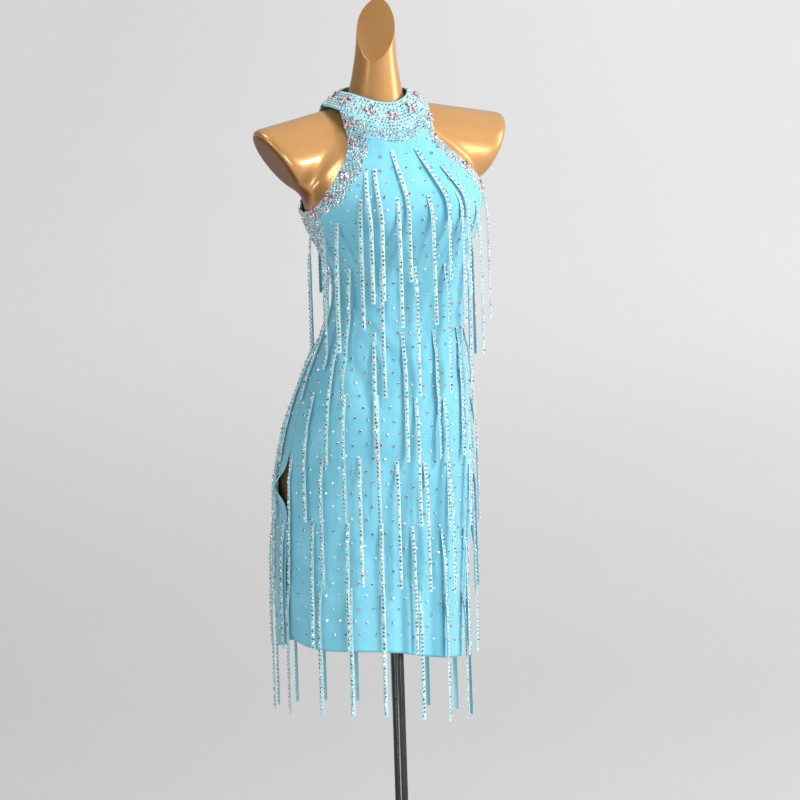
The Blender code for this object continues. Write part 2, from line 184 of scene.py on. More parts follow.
def add_softbox(name, from_right, from_front, height, size, power, aim_height):
    """An area light of a width and height, placed as the camera sees it and aimed at the dress."""
    toward = Vector((to_camera.x, to_camera.y, 0.0)).normalized()
    place = camera_right * from_right + toward * from_front + Vector((0.0, 0.0, height))
    data = bpy.data.lights.new(name, "AREA")
    data.shape = "RECTANGLE"
    data.size, data.size_y = size
    data.energy = power
    lamp = bpy.data.objects.new(name, data)
    lamp.visible_camera = False
    lamp.matrix_world = Matrix.Translation(place) @ (
        Vector((0.0, 0.0, aim_height)) - place
    ).to_track_quat("-Z", "Y").to_matrix().to_4x4()
    bpy.context.scene.collection.objects.link(lamp)


# Name; metres to the right, in front and up; width and height; watts; and the height aimed at.
SOFTBOXES = (
    ("low_softbox", -0.30, 2.10, 0.22, (0.50, 0.50), 9.0, 1.35),
    ("left_strip", -3.7, 3.2, 1.2, (0.14, 2.2), 30.0, 1.1),
    ("front_softbox", 2.45, 1.75, 0.80, (0.30, 0.38), 13.0, 1.35),
    ("chest_softbox", 1.0, 0.75, 1.80, (0.40, 0.40), 5.5, 1.28),
    ("shoulder_softbox", -0.85, 0.55, 2.35, (0.45, 0.45), 3.8, 1.42),
    ("right_window", 5.2, 0.2, 1.9, (2.2, 2.6), 60.0, 1.1),
)
key = bpy.data.lights.new("window_key", "SUN")
key.energy = 2.7
key.angle = math.radians(10.0)
key.color = (1.0, 0.985, 0.96)
key_lamp = bpy.data.objects.new("window_key", key)
key_lamp.visible_glossy = False
key_from = camera_right * 0.95 + Vector((to_camera.x, to_camera.y, 0.0)) * 0.28
key_from += Vector((0.0, 0.0, 1.05))
key_lamp.matrix_world = key_from.to_track_quat("Z", "Y").to_matrix().to_4x4()
bpy.context.scene.collection.objects.link(key_lamp)
for softbox in SOFTBOXES:
    add_softbox(*softbox)
bpy.data.objects["chest_softbox"].visible_glossy = False


# ------------------------------------------------------------ stand
# A round steel plate with a turned hub pressed on, a polished tube standing in it, and the cast
# flange that is screwed under the form. All turned or drawn steel.


def new_finish(name, **sockets):
    """A new material, its node tree and its shader, with the shader's even values set."""
    material = bpy.data.materials.new(name)
    material.use_nodes = True
    shader = material.node_tree.nodes["Principled BSDF"]
    for socket, value in sockets.items():
        shader.inputs[socket.replace("_", " ")].default_value = value
    return material, material.node_tree, shader


# Drawn tube, polished lengthwise and then nickel-plated: dark, with a long soft highlight.
drawn_steel, tree, shader = new_finish("polished_drawn_steel_tube", Metallic=1.0)
place = add_node(tree, "ShaderNodeTexCoord").outputs["Object"]
lengthwise = add_node(
    tree, "ShaderNodeMapping", {"Vector": place, "Scale": (900.0, 900.0, 14.0)}
).outputs[0]
grit = add_node(tree, "ShaderNodeTexNoise", {"Vector": lengthwise, "Scale": 1.0, "Detail": 3.0})
steel = add_node(
    tree,
    "ShaderNodeMix",
    {0: grit.outputs["Fac"], 6: linear("#393b3b"), 7: linear("#4f5151")},
    data_type="RGBA",
)
tree.links.new(steel.outputs[2], shader.inputs["Base Color"])
polish = add_node(tree, "ShaderNodeMapRange", {"Value": grit.outputs["Fac"], 3: 0.16, 4: 0.30})
tree.links.new(polish.outputs[0], shader.inputs["Roughness"])
scratch = add_node(
    tree, "ShaderNodeBump", {"Height": grit.outputs["Fac"], "Strength": 0.12, "Distance": 0.0002}
)
tree.links.new(scratch.outputs[0], shader.inputs["Normal"])

# Turned plate: the cutter leaves fine rings, so highlights fan out from the middle.
turned_steel, tree, shader = new_finish("turned_steel_plate", Metallic=1.0)
place = add_node(tree, "ShaderNodeTexCoord").outputs["Object"]
rings = add_node(
    tree,
    "ShaderNodeTexWave",
    {"Vector": place, "Scale": 160.0, "Distortion": 0.6, "Detail": 2.0, "Detail Scale": 3.0},
    wave_type="RINGS",
    rings_direction="Z",
)
smudge = add_node(tree, "ShaderNodeTexNoise", {"Vector": place, "Scale": 22.0, "Detail": 4.0})
steel = add_node(
    tree,
    "ShaderNodeMix",
    {0: smudge.outputs["Fac"], 6: linear("#7d8082"), 7: linear("#a0a2a3")},
    data_type="RGBA",
)
tree.links.new(steel.outputs[2], shader.inputs["Base Color"])
polish = add_node(tree, "ShaderNodeMapRange", {"Value": smudge.outputs["Fac"], 3: 0.26, 4: 0.42})
tree.links.new(polish.outputs[0], shader.inputs["Roughness"])
cut = add_node(
    tree, "ShaderNodeBump", {"Height": rings.outputs["Fac"], "Strength": 0.15, "Distance": 0.0003}
)
tree.links.new(cut.outputs[0], shader.inputs["Normal"])


def make_active(piece):
    bpy.ops.object.select_all(action="DESELECT")
    piece.select_set(True)
    bpy.context.view_layer.objects.active = piece


def apply_modifiers(piece):
    make_active(piece)
    for modifier in list(piece.modifiers):
        bpy.ops.object.modifier_apply(modifier=modifier.name)


def select_rims(piece, keep):
    """In edit mode, selects the edges whose both ends satisfy a test on their place."""
    bpy.ops.object.mode_set(mode="OBJECT")
    mesh = piece.data
    for part in (*mesh.vertices, *mesh.edges, *mesh.polygons):
        part.select = False
    for edge in mesh.edges:
        edge.select = all(keep(mesh.vertices[v].co) for v in edge.vertices)
    bpy.ops.object.mode_set(mode="EDIT")
    bpy.ops.mesh.select_mode(type="EDGE")


def turned_piece(name, radius, low, high, bevel, steps=96):
    """A disc of metal at its size and place, with its outer rims rounded in edit mode."""
    bpy.ops.object.select_all(action="DESELECT")
    bpy.ops.mesh.primitive_cylinder_add(
        vertices=steps, radius=radius, depth=high - low, location=(0.0, 0.0, (low + high) / 2)
    )
    piece = bpy.context.object
    piece.name = name
    bpy.ops.object.transform_apply(location=True, rotation=True, scale=True)
    rim = radius * 0.99
    select_rims(piece, lambda co: abs(co.z - high) < 1e-6 and math.hypot(co.x, co.y) > rim)
    bpy.ops.mesh.bevel(offset=bevel, segments=5, affect="EDGES")
    bpy.ops.object.mode_set(mode="OBJECT")
    return piece


def finish_metal(piece, material, *nodes, slot):
    make_active(piece)
    bpy.ops.object.mode_set(mode="EDIT")
    bpy.ops.mesh.select_all(action="SELECT")
    bpy.ops.mesh.normals_make_consistent(inside=False)
    bpy.ops.object.mode_set(mode="OBJECT")
    bpy.ops.object.shade_smooth_by_angle(angle=math.radians(32.0))
    piece.data.materials.clear()
    piece.data.materials.append(material)
    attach(piece, "root")
    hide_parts(*nodes)


# Edge mode first, so that the edges that select_rims marks are still marked in edit mode.
bpy.context.tool_settings.mesh_select_mode = (False, True, False)
plate_low, plate_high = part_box("stand_base")
plate = turned_piece("base_plate", plate_high.x, plate_low.z, plate_high.z, 0.0022, steps=160)
finish_metal(plate, turned_steel, "stand_base", slot="base_steel")

# Hub: a turned collar with a flared foot; its top is drawn in around the tube.
hub_low, hub_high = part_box("stand_hub")
HUB_NECK = 0.020
HUB_FOOT = 0.004  # the foot's rim, below where its flare starts
HUB_FLARE = 0.012
hub = turned_piece("pole_hub", HUB_NECK, hub_low.z, hub_high.z, 0.0018, steps=64)
bpy.ops.object.mode_set(mode="EDIT")
for cut_height in (hub_low.z + HUB_FOOT, hub_low.z + HUB_FLARE):
    bpy.ops.mesh.select_all(action="SELECT")
    bpy.ops.mesh.bisect(plane_co=(0.0, 0.0, cut_height), plane_no=(0.0, 0.0, 1.0))
select_rims(hub, lambda co: co.z < hub_low.z + HUB_FOOT + 0.0005)
flare = hub_high.x / HUB_NECK
bpy.ops.transform.resize(value=(flare, flare, 1.0))
select_rims(hub, lambda co: HUB_FOOT - 0.0005 < co.z - hub_low.z < HUB_FLARE + 0.0005)
bpy.ops.mesh.bevel(offset=0.0012, segments=3, affect="EDGES")
bpy.ops.object.mode_set(mode="OBJECT")
finish_metal(hub, turned_steel, "stand_hub", slot="pole_steel")

pole_low, pole_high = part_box("stand_pole")
pole = turned_piece("stand_tube", pole_high.x, pole_low.z, pole_high.z, 0.0010, steps=64)
finish_metal(pole, drawn_steel, "stand_pole", slot="pole_steel")

# Flange: a disc with a sleeve drawn down around the tube.
flange_low, flange_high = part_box("form_flange")
SLEEVE_RADIUS = 0.017
flange = turned_piece(
    "form_flange_cast", flange_high.x, flange_high.z - 0.006, flange_high.z, 0.0012, steps=64
)
sleeve = turned_piece(
    "form_sleeve", SLEEVE_RADIUS, flange_low.z, flange_high.z - 0.0055, 0.0008, steps=48
)
make_active(flange)
sleeve.select_set(True)
bpy.ops.object.join()
finish_metal(flange, drawn_steel, "form_flange", slot="pole_steel")


# ------------------------------------------------------------ dress form
# A limbless woman's form of moulded fibreglass, sprayed with gold lacquer and clear coat. The arms
# end in slant cuts, the neck in an oval one. It carries the dress, and the flange is screwed to it.

AXIS_X = -0.010
SUPERELLIPSE = 2.2
CLOTH_THICKNESS = 0.0012
CLOTH_CLEARANCE = 0.0030
COLUMNS = ("height", "half_width", "front", "back", "shift")
DRESS_SECTIONS = (
    (0.470, 0.158, 0.086, 0.127, -0.040),
    (0.585, 0.159, 0.086, 0.128, -0.037),
    (0.700, 0.164, 0.086, 0.130, -0.032),
    (0.800, 0.168, 0.088, 0.132, -0.024),
    (0.860, 0.168, 0.090, 0.133, -0.021),
    (0.900, 0.166, 0.094, 0.129, -0.020),
    (0.970, 0.154, 0.098, 0.112, -0.016),
    (1.040, 0.138, 0.098, 0.088, -0.008),
    (1.100, 0.120, 0.094, 0.066, 0.001),
    (1.155, 0.112, 0.092, 0.058, 0.013),
    (1.200, 0.113, 0.099, 0.070, 0.016),
    (1.250, 0.131, 0.115, 0.086, 0.011),
    (1.295, 0.148, 0.127, 0.092, 0.006),
    (1.325, 0.151, 0.124, 0.090, 0.007),
    (1.360, 0.140, 0.108, 0.086, 0.006),
    (1.390, 0.116, 0.091, 0.083, 0.001),
    (1.415, 0.095, 0.078, 0.080, -0.005),
    (1.440, 0.079, 0.067, 0.077, -0.009),
    (1.480, 0.064, 0.055, 0.066, -0.010),
)
FORM_SECTIONS = (
    (0.640, 0.140, 0.072, 0.106, -0.033),
    (0.700, 0.150, 0.078, 0.114, -0.031),
    (0.780, 0.160, 0.083, 0.124, -0.025),
    *DRESS_SECTIONS[4:-3],
    (1.415, 0.088, 0.072, 0.074, -0.005),
    (1.440, 0.070, 0.057, 0.066, -0.008),
    (1.470, 0.051, 0.048, 0.055, -0.007),
    (1.500, 0.044, 0.043, 0.049, -0.005),
    (1.540, 0.037, 0.038, 0.043, -0.004),
    (1.580, 0.034, 0.034, 0.039, -0.002),
    (1.680, 0.030, 0.030, 0.034, 0.000),
)
BUST = {"height": 1.305, "turn": math.radians(27.0), "rise": 0.009}
BUST_SPREAD = {"height": 0.042, "turn": 0.30}
SHOULDER = {"depth": 0.047, "height": 0.060, "set_back": 0.012, "slope": 0.19, "middle": 1.410}
ARM_CUTS = (
    {"point": (-0.187, 0.0, 1.385), "turn_down": math.radians(36.0), "side": -1.0},
    {"point": (0.205, 0.0, 1.385), "turn_down": math.radians(28.0), "side": 1.0},
)
SHOULDER_BLEND = 0.024
RIM_BLEND = 0.016
NECK_FOOT_HEIGHT = 1.5
NECK_CUT = {"height": 1.545, "turn": math.radians(-38.0), "rise": math.radians(35.0)}


def eased(levels, values, heights):
    """A smooth curve through a table's values, read at any heights."""
    levels = np.asarray(levels, float)
    values = np.asarray(values, float)
    slopes = np.gradient(values, levels)
    heights = np.clip(heights, levels[0], levels[-1])
    i = np.clip(np.searchsorted(levels, heights) - 1, 0, len(levels) - 2)
    step = levels[i + 1] - levels[i]
    t = (heights - levels[i]) / step
    bend = step * (slopes[i] * t * (1 - t) ** 2 + slopes[i + 1] * t * t * (t - 1))
    return values[i] + (values[i + 1] - values[i]) * (3 - 2 * t) * t * t + bend


def section_radius(sections, angles, heights):
    """How far an oval section of the body reaches from the upright axis."""
    table = dict(zip(COLUMNS, np.array(sections).T))
    value = {name: eased(table["height"], table[name], heights) for name in COLUMNS[1:]}
    half_depth = (value["front"] + value["back"]) / 2
    middle_y = (value["back"] - value["front"]) / 2
    near = np.zeros_like(angles)
    far = np.full_like(angles, 0.4)
    for _ in range(30):
        radius = (near + far) / 2
        x = np.abs(AXIS_X + radius * np.cos(angles) - value["shift"]) / value["half_width"]
        y = np.abs(radius * np.sin(angles) - middle_y) / half_depth
        inside = x**SUPERELLIPSE + y**SUPERELLIPSE < 1
        near = np.where(inside, radius, near)
        far = np.where(inside, far, radius)
    fall = np.exp(-(((heights - BUST["height"]) / BUST_SPREAD["height"]) ** 2))
    turn = np.abs(np.mod(angles, math.tau) - 1.5 * math.pi)
    aside = (turn - BUST["turn"]) / BUST_SPREAD["turn"]
    return near + BUST["rise"] * fall * np.exp(-(aside**2))


def smooth_min(a, b, blend):
    mix = np.clip(0.5 + 0.5 * (b - a) / blend, 0, 1)
    return b + (a - b) * mix - blend * mix * (1 - mix)


def form_field(body, reach, angles, heights):
    """Below zero inside the form: the body joined softly to the arm stubs and their slant cuts."""
    x = AXIS_X + reach * np.cos(angles)
    y = reach * np.sin(angles)
    middle = SHOULDER["middle"] - SHOULDER["slope"] * np.maximum(np.abs(x) - 0.06, 0)
    across = (y - SHOULDER["set_back"]) / SHOULDER["depth"]
    along = (heights - middle) / SHOULDER["height"]
    stub = (np.hypot(across, along) - 1) * SHOULDER["depth"]
    for cut in ARM_CUTS:
        ahead = cut["side"] * math.cos(cut["turn_down"]) * (x - cut["point"][0])
        below = -math.sin(cut["turn_down"]) * (heights - cut["point"][2])
        stub = -smooth_min(-stub, -(ahead + below), RIM_BLEND)
    return smooth_min(reach - body, stub, SHOULDER_BLEND)


def form_radius(angles, heights):
    """The form's radius at each angle and height: the outermost crossing of its field."""
    body = section_radius(FORM_SECTIONS, angles, heights) - CLOTH_CLEARANCE - CLOTH_THICKNESS
    reaches = np.linspace(0.02, 0.28, 66)
    inner = np.full_like(angles, reaches[0])
    for reach in reaches:
        inner = np.where(form_field(body, reach, angles, heights) < 0, reach, inner)
    outer = inner + (reaches[1] - reaches[0])
    for _ in range(12):
        middle = (inner + outer) / 2
        inside = form_field(body, middle, angles, heights) < 0
        inner = np.where(inside, middle, inner)
        outer = np.where(inside, outer, middle)
    return inner


def at(angles, radii, heights, centre_x=AXIS_X):
    """Points from polar coordinates about the upright axis."""
    angles, radii, heights = np.broadcast_arrays(angles, radii, heights)
    return np.stack([centre_x + radii * np.cos(angles), radii * np.sin(angles), heights], axis=-1)


def grid_faces(rows, columns, closed=False):
    """Quads of a grid of points; closed grids join their last column to their first."""
    steps = np.arange(columns if closed else columns - 1)
    low = (np.arange(rows - 1) * columns)[:, None]
    ahead = (steps + 1) % columns
    quads = [low + steps, low + ahead, low + columns + ahead, low + columns + steps]
    return np.stack(np.broadcast_arrays(*quads), axis=-1).reshape(-1, 4)


def new_piece(name, points, faces, material):
    mesh = bpy.data.meshes.new(name)
    faces = [list(map(int, face)) for face in faces]
    mesh.from_pydata(np.asarray(points).reshape(-1, 3).tolist(), [], faces)
    piece = bpy.data.objects.new(name, mesh)
    bpy.context.scene.collection.objects.link(piece)
    mesh.materials.append(material)
    mesh.shade_smooth()
    return piece


# Gold lacquer: metal flake in a tinted lacquer under a clear coat, so it is warm and half metallic
# with sharp reflections on top and a faint orange-peel ripple.
gold, tree, shader = new_finish(
    "sprayed_gold_lacquer",
    Metallic=0.62,
    Coat_Roughness=0.07,
    Coat_IOR=1.5,
)
place = add_node(tree, "ShaderNodeTexCoord").outputs["Object"]
drift = add_node(tree, "ShaderNodeTexNoise", {"Vector": place, "Scale": 9.0, "Detail": 3.0})
lacquer = add_node(
    tree,
    "ShaderNodeMix",
    {0: drift.outputs["Fac"], 6: linear("#c58f50"), 7: linear("#d39e60")},
    data_type="RGBA",
)
# The slant arm cuts are painted a darker brown and lose their clear coat: painted shade, for the
# shade and dim reflection those faces catch.
cut_shade_share = add_node(tree, "ShaderNodeAttribute", attribute_name="painted_cut_shade").outputs["Fac"]
colour_with_painted_light = add_node(
    tree,
    "ShaderNodeMix",
    {0: cut_shade_share, 6: lacquer.outputs[2], 7: linear("#784410")},
    data_type="RGBA",
)
flake = add_node(tree, "ShaderNodeTexVoronoi", {"Vector": place, "Scale": 900.0})
glint = add_node(
    tree,
    "ShaderNodeMapRange",
    {"Value": flake.outputs["Distance"], 1: 0.0, 2: 0.8, 3: 0.34, 4: 0.29},
)
tree.links.new(colour_with_painted_light.outputs[2], shader.inputs["Base Color"])
tree.links.new(glint.outputs[0], shader.inputs["Roughness"])
clear = add_node(tree, "ShaderNodeMapRange", {"Value": cut_shade_share, 3: 0.85, 4: 0.0})
tree.links.new(clear.outputs[0], shader.inputs["Coat Weight"])
peel = add_node(tree, "ShaderNodeTexNoise", {"Vector": place, "Scale": 170.0, "Detail": 1.0})
ripple = add_node(
    tree, "ShaderNodeBump", {"Height": peel.outputs["Fac"], "Strength": 0.04, "Distance": 0.0004}
)
tree.links.new(ripple.outputs[0], shader.inputs["Normal"])

# Spokes are closer together at the arm stubs, whose ends turn away from the axis.
at_arms = np.linspace(-0.60, 0.60, 97)
between = np.linspace(0.60, math.pi - 0.60, 62)[1:-1]
spokes = np.concatenate([at_arms, between, math.pi + at_arms, math.pi + between])
form_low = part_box("form_torso")[0].z
levels = np.concatenate(
    [
        np.linspace(form_low, 1.290, 70)[:-1],
        np.linspace(1.290, 1.480, 116)[:-1],
        np.linspace(1.480, 1.680, 24),
    ]
)
spoke_grid, level_grid = np.meshgrid(spokes, levels)
form_points = at(spoke_grid, form_radius(spoke_grid, level_grid), level_grid)
form_faces = [tuple(range(len(spokes) - 1, -1, -1))]
form_faces += grid_faces(len(levels), len(spokes), closed=True).tolist()
form_faces.append(tuple((len(levels) - 1) * len(spokes) + j for j in range(len(spokes))))
form = new_piece("gold_form", form_points, form_faces, gold)

# The neck is sawn off at a slant, its cut faced with a cap, and the rim eased with sandpaper. Only
# the neck is selected for it, because the cut's plane passes through the right arm stub as well.
cut_normal = slanted(NECK_CUT["turn"], NECK_CUT["rise"])
neck_front = form_radius(np.array([1.5 * math.pi]), np.array([NECK_CUT["height"]]))[0]
cut_point = Vector(
    (AXIS_X + neck_front * cut_normal.x, neck_front * cut_normal.y, NECK_CUT["height"])
)
make_active(form)
select_rims(form, lambda co: co.z > NECK_CUT["height"] - 0.05)
bpy.ops.mesh.bisect(
    plane_co=cut_point, plane_no=cut_normal, use_fill=True, clear_outer=True, threshold=0.00001
)
select_rims(
    form,
    lambda co: co.z > NECK_FOOT_HEIGHT and abs((co - cut_point).dot(cut_normal)) < 1e-5,
)
bpy.ops.mesh.remove_doubles(threshold=0.0003)
bpy.ops.mesh.bevel(offset=0.0007, segments=3, affect="EDGES")
bpy.ops.object.mode_set(mode="OBJECT")
bpy.ops.object.shade_smooth_by_angle(angle=math.radians(40.0))
spots = np.array([vertex.co for vertex in form.data.vertices])
leans = np.array([vertex.normal for vertex in form.data.vertices])
# Where the painted shade goes: fully on the faces of the arm cuts, a little on the neck cut.
painted_cut_shade = np.zeros(len(spots))
for cut in ARM_CUTS:
    down = cut["turn_down"]
    facing = np.array([cut["side"] * math.cos(down), 0.0, -math.sin(down)])
    beyond = np.abs((spots - np.array(cut["point"])) @ facing)
    level = np.clip((leans @ facing - 0.72) / 0.22, 0, 1)
    painted_cut_shade = np.maximum(painted_cut_shade, level**2 * (3 - 2 * level) * (beyond < 0.009))
on_neck_cut = np.abs((spots - np.array(cut_point)) @ np.array(cut_normal)) < 0.0002
painted_cut_shade[on_neck_cut & (spots[:, 2] > NECK_CUT["height"] - 0.02)] = 0.35
layer = form.data.attributes.new("painted_cut_shade", "FLOAT", "POINT")
layer.data.foreach_set("value", painted_cut_shade.astype(np.float32))
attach(form, "root")
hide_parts("form_torso")


# ------------------------------------------------------------ dress panels
# Front and back of the dress, cut from four-way stretch jersey in aqua and sewn at the side seams.
# The armholes are cut in, and the wearer's right seam is left open as a slit.

HEM_HEIGHT = 0.585
SLIT_TOP_HEIGHT = 0.903
SLIT_HALF_GAP = 0.0030
SEAM_GAP = 0.0003
SEAM_RADIUS = 0.150  # about how far the side seams are from the axis
PANEL_BLEND = 0.004
FOLD_RADIUS = 0.13
SLIT_FLARE = {"front": 0.003, "back": 0.031}
HEM_CORNER = {"front": 0.030, "back": 0.012}  # how far the slit's corners are rounded up
HIP_TILT = 0.018  # the skirt's rows rise this much toward the wearer's right hip
TILT_FADE = (0.95, 1.16)  # the heights between which that rise fades out
ARMHOLE_COLUMNS = ("height", "front_turn", "back_turn", "middle_height")
ARMHOLE = (
    (1.2675, 0.0, 0.0, 1.2675),
    (1.3020, 0.0, 0.0, 1.3020),
    (1.3045, 7.0, 7.0, 1.3090),
    (1.3110, 14.0, 14.0, 1.3180),
    (1.3260, 21.5, 22.0, 1.3320),
    (1.3430, 26.0, 28.0, 1.3480),
    (1.3620, 30.0, 33.0, 1.3640),
    (1.3900, 33.5, 37.0, 1.3850),
    (1.4200, 31.5, 37.0, 1.4060),
)
LEFT_ARMHOLE = 0.82  # the wearer's left armhole is cut in less
BAND_SEAM_TURN = 20.0
BAND_THICKNESS = 0.0018
NECK_X = -0.009
BAND_TOP = {"front": 1.475, "side": 1.492, "back": 1.495}
BAND_FOOT = {"front": 1.430, "side": 1.472, "back": 1.472}
BAND_TOP_RADIUS = {"front": 0.051, "side": 0.053, "back": 0.056}
BAND_FOOT_RADIUS = {"front": 0.071, "side": 0.087, "back": 0.078}
# Soft folds of the cloth, listed one by one: where each starts and ends as turn from the centre
# front in degrees and height, its half width in metres and its depth, troughs below zero.
FOLDS = (
    ((14, 1.205), (10, 1.120), 0.009, -0.0033),
    ((26, 1.215), (20, 1.120), 0.010, 0.0033),
    ((-12, 1.225), (-9, 1.130), 0.009, -0.0030),
    ((-24, 1.225), (-20, 1.130), 0.010, 0.0027),
    ((34, 1.200), (6, 1.060), 0.010, -0.0039),
    ((46, 1.120), (14, 0.985), 0.011, -0.0048),
    ((58, 1.075), (24, 0.925), 0.012, -0.0045),
    ((-44, 1.130), (-16, 1.060), 0.011, -0.0033),
    ((-60, 1.090), (-30, 0.985), 0.012, -0.0030),
    ((70, 1.150), (40, 1.110), 0.008, -0.0027),
    ((-16, 0.905), (-18, 0.575), 0.012, -0.0039),
    ((-8, 0.720), (-9, 0.575), 0.009, 0.0033),
    ((26, 0.850), (22, 0.575), 0.013, -0.0060),
    ((14, 0.720), (15, 0.575), 0.009, -0.0039),
    ((34, 0.780), (33, 0.575), 0.012, 0.0045),
    ((-50, 0.800), (-52, 0.575), 0.014, 0.0027),
    ((170, 0.930), (168, 0.600), 0.016, -0.0045),
    ((150, 0.860), (150, 0.600), 0.014, 0.0039),
    ((-168, 0.880), (-166, 0.600), 0.014, -0.0039),
    ((-140, 0.830), (-144, 0.600), 0.013, 0.0036),
    ((160, 1.190), (176, 1.100), 0.012, -0.0045),
    ((-158, 1.190), (-174, 1.100), 0.012, -0.0042),
    ((130, 1.150), (152, 1.075), 0.011, -0.0036),
    ((-130, 1.150), (-150, 1.075), 0.011, -0.0036),
)


def smooth_step(low, high, value):
    t = np.clip((value - low) / (high - low), 0, 1)
    return t * t * (3 - 2 * t)


def hip_lift(angles, heights):
    """How much a row of the skirt is lifted: the hip stands out to the wearer's right."""
    weight = 1 - smooth_step(*TILT_FADE, heights)
    return -HIP_TILT * weight * np.cos(angles)


def folds_at(angles, heights):
    """The cloth's folds as a change of radius: soft troughs and ridges on short slanted lines."""
    turn = np.degrees(np.mod(angles - 1.5 * math.pi + math.pi, math.tau) - math.pi)
    total = np.zeros(np.broadcast(angles, heights).shape)
    for (turn_1, height_1), (turn_2, height_2), width, depth in FOLDS:
        share = (heights - height_1) / (height_2 - height_1)
        line = turn_1 + (turn_2 - turn_1) * share
        away = np.mod(turn - line + 180.0, 360.0) - 180.0
        lateral = np.radians(away) * FOLD_RADIUS
        slope = np.radians(turn_2 - turn_1) * FOLD_RADIUS / (height_2 - height_1)
        across = lateral / math.sqrt(1 + slope * slope)
        ends = smooth_step(-0.15, 0.25, share) * (1 - smooth_step(0.75, 1.2, share))
        if height_2 < 0.62:
            ends = smooth_step(-0.05, 0.45, share)
        total = total + depth * ends * np.exp(-((across / width) ** 2))
    return total


def dress_radius(angles, heights):
    """The outside of the cloth without its folds."""
    own = section_radius(DRESS_SECTIONS, angles, heights)
    over_form = form_radius(angles, heights) + CLOTH_CLEARANCE + CLOTH_THICKNESS
    return -smooth_min(-own, -over_form, PANEL_BLEND)


def cloth_radius(angles, heights):
    """The outside of the cloth, never nearer to the form than a hair."""
    least = form_radius(angles, heights) + CLOTH_THICKNESS + 0.0008
    plain = dress_radius(angles, heights) + folds_at(angles, heights)
    ripple = 0.0005 * np.sin(angles * 23 + 9 * np.sin(heights * 17)) * np.sin(heights * 61)
    return np.maximum(plain + ripple, least)


def band_value(values, angles):
    front = np.clip(-np.sin(angles), 0, 1) ** 2
    back = np.clip(np.sin(angles), 0, 1) ** 2
    return values["front"] * front + values["side"] * (1 - front - back) + values["back"] * back


def band_foot(angles):
    return at(angles, band_value(BAND_FOOT_RADIUS, angles), band_value(BAND_FOOT, angles), NECK_X)


PANEL_COLUMNS = 121
BODY_ROWS = 150
ARMHOLE_ROWS = 44
YOKE_ROWS = 14


def panel_grid(half):
    """The outside of one panel, row by row from the hem to the neckband."""
    middle = 1.5 * math.pi if half == "front" else 0.5 * math.pi
    share = np.linspace(-1, 1, PANEL_COLUMNS)
    seam = SEAM_GAP / 2 / SEAM_RADIUS
    plain = np.linspace(HEM_HEIGHT, ARMHOLE[0][0], BODY_ROWS)
    angles = middle + share[None] * (math.pi / 2 - seam) + 0 * plain[:, None]
    heights = plain[:, None] + 0 * angles
    slit_side = -1 if half == "front" else 1
    near_slit = np.clip(1 - np.abs(share - slit_side) / 0.30, 0, 1)[None]
    open_share = np.clip((SLIT_TOP_HEIGHT - heights) / (SLIT_TOP_HEIGHT - HEM_HEIGHT), 0, 1)
    parted = SLIT_HALF_GAP / SEAM_RADIUS * np.sqrt(open_share)
    angles = angles - slit_side * parted * near_slit**2
    hem_share = 1 - smooth_step(HEM_HEIGHT, HEM_HEIGHT + 0.16, heights)
    corner = 1 - np.sqrt(np.clip(1 - near_slit**2, 0, 1))
    heights = heights + hip_lift(angles, heights)
    heights = heights + hem_share * corner * HEM_CORNER[half]
    rows = np.linspace(0, len(ARMHOLE) - 1, ARMHOLE_ROWS)[1:]
    edge = {
        name: eased(np.arange(len(ARMHOLE)), column, rows)
        for name, column in zip(ARMHOLE_COLUMNS, np.array(ARMHOLE).T)
    }
    cut_in = np.radians(np.maximum(edge[half + "_turn"], 0))[:, None]
    left = 1 if half == "front" else -1
    reach = math.pi / 2 - seam - cut_in * np.where(share * left > 0, LEFT_ARMHOLE, 1.0)[None]
    arm_angles = middle + share[None] * reach
    droop = edge["height"] - edge["middle_height"]
    arm_heights = edge["middle_height"][:, None] + droop[:, None] * share[None] ** 4
    angles = np.vstack([angles, arm_angles])
    heights = np.vstack([heights, arm_heights])
    radii = cloth_radius(angles, heights)
    top = band_foot(middle + share * (math.pi / 2 - math.radians(BAND_SEAM_TURN)))
    top_radii = np.hypot(top[:, 0] - AXIS_X, top[:, 1])
    top_angles = np.mod(np.arctan2(top[:, 1], top[:, 0] - AXIS_X), math.tau)
    for part in np.linspace(0, 1, YOKE_ROWS + 1)[1:]:
        mixed = arm_angles[-1] + (top_angles - arm_angles[-1]) * part
        raised = arm_heights[-1] + (top[:, 2] - SEAM_GAP - arm_heights[-1]) * part
        least = form_radius(mixed, raised) + CLOTH_THICKNESS + 0.0012
        flat = radii[BODY_ROWS + ARMHOLE_ROWS - 2] * (1 - part) + top_radii * part
        angles = np.vstack([angles, mixed])
        heights = np.vstack([heights, raised])
        radii = np.vstack([radii, np.maximum(flat, least)])
    return angles, radii, heights


def slit_flare(angles, radii, heights, half):
    """The slit's back edge curls outward below the end of the slit; the front edge a little."""
    away = np.abs(np.mod(angles, math.tau) - math.pi) * SEAM_RADIUS
    near = np.clip(1 - away / 0.030, 0, 1) ** 1.5
    spot = np.exp(-((np.abs(heights - 0.868) / 0.022) ** 1.5))
    rest = 0.10 * (1 - smooth_step(0.70, 0.90, heights))
    return radii + SLIT_FLARE[half] * near * (spot + rest)


def row_lengths(points):
    """Distance along each row of a grid, from the row's middle."""
    steps = np.linalg.norm(np.diff(points, axis=1), axis=-1)
    along = np.concatenate([np.zeros((len(points), 1)), np.cumsum(steps, axis=1)], axis=1)
    return along - along[:, along.shape[1] // 2][:, None]


def run_along(points):
    """Distance along a line of points, from its first."""
    return np.concatenate([[0], np.cumsum(np.linalg.norm(np.diff(points, axis=0), axis=1))])


def paint_uv(piece, flat):
    """A UV map in metres, from one place for each point."""
    layer = piece.data.uv_layers.new(name="cloth_plane")
    corners = np.zeros(len(piece.data.loops), np.int32)
    piece.data.loops.foreach_get("vertex_index", corners)
    layer.data.foreach_set("uv", flat[corners].astype(np.float32).ravel())


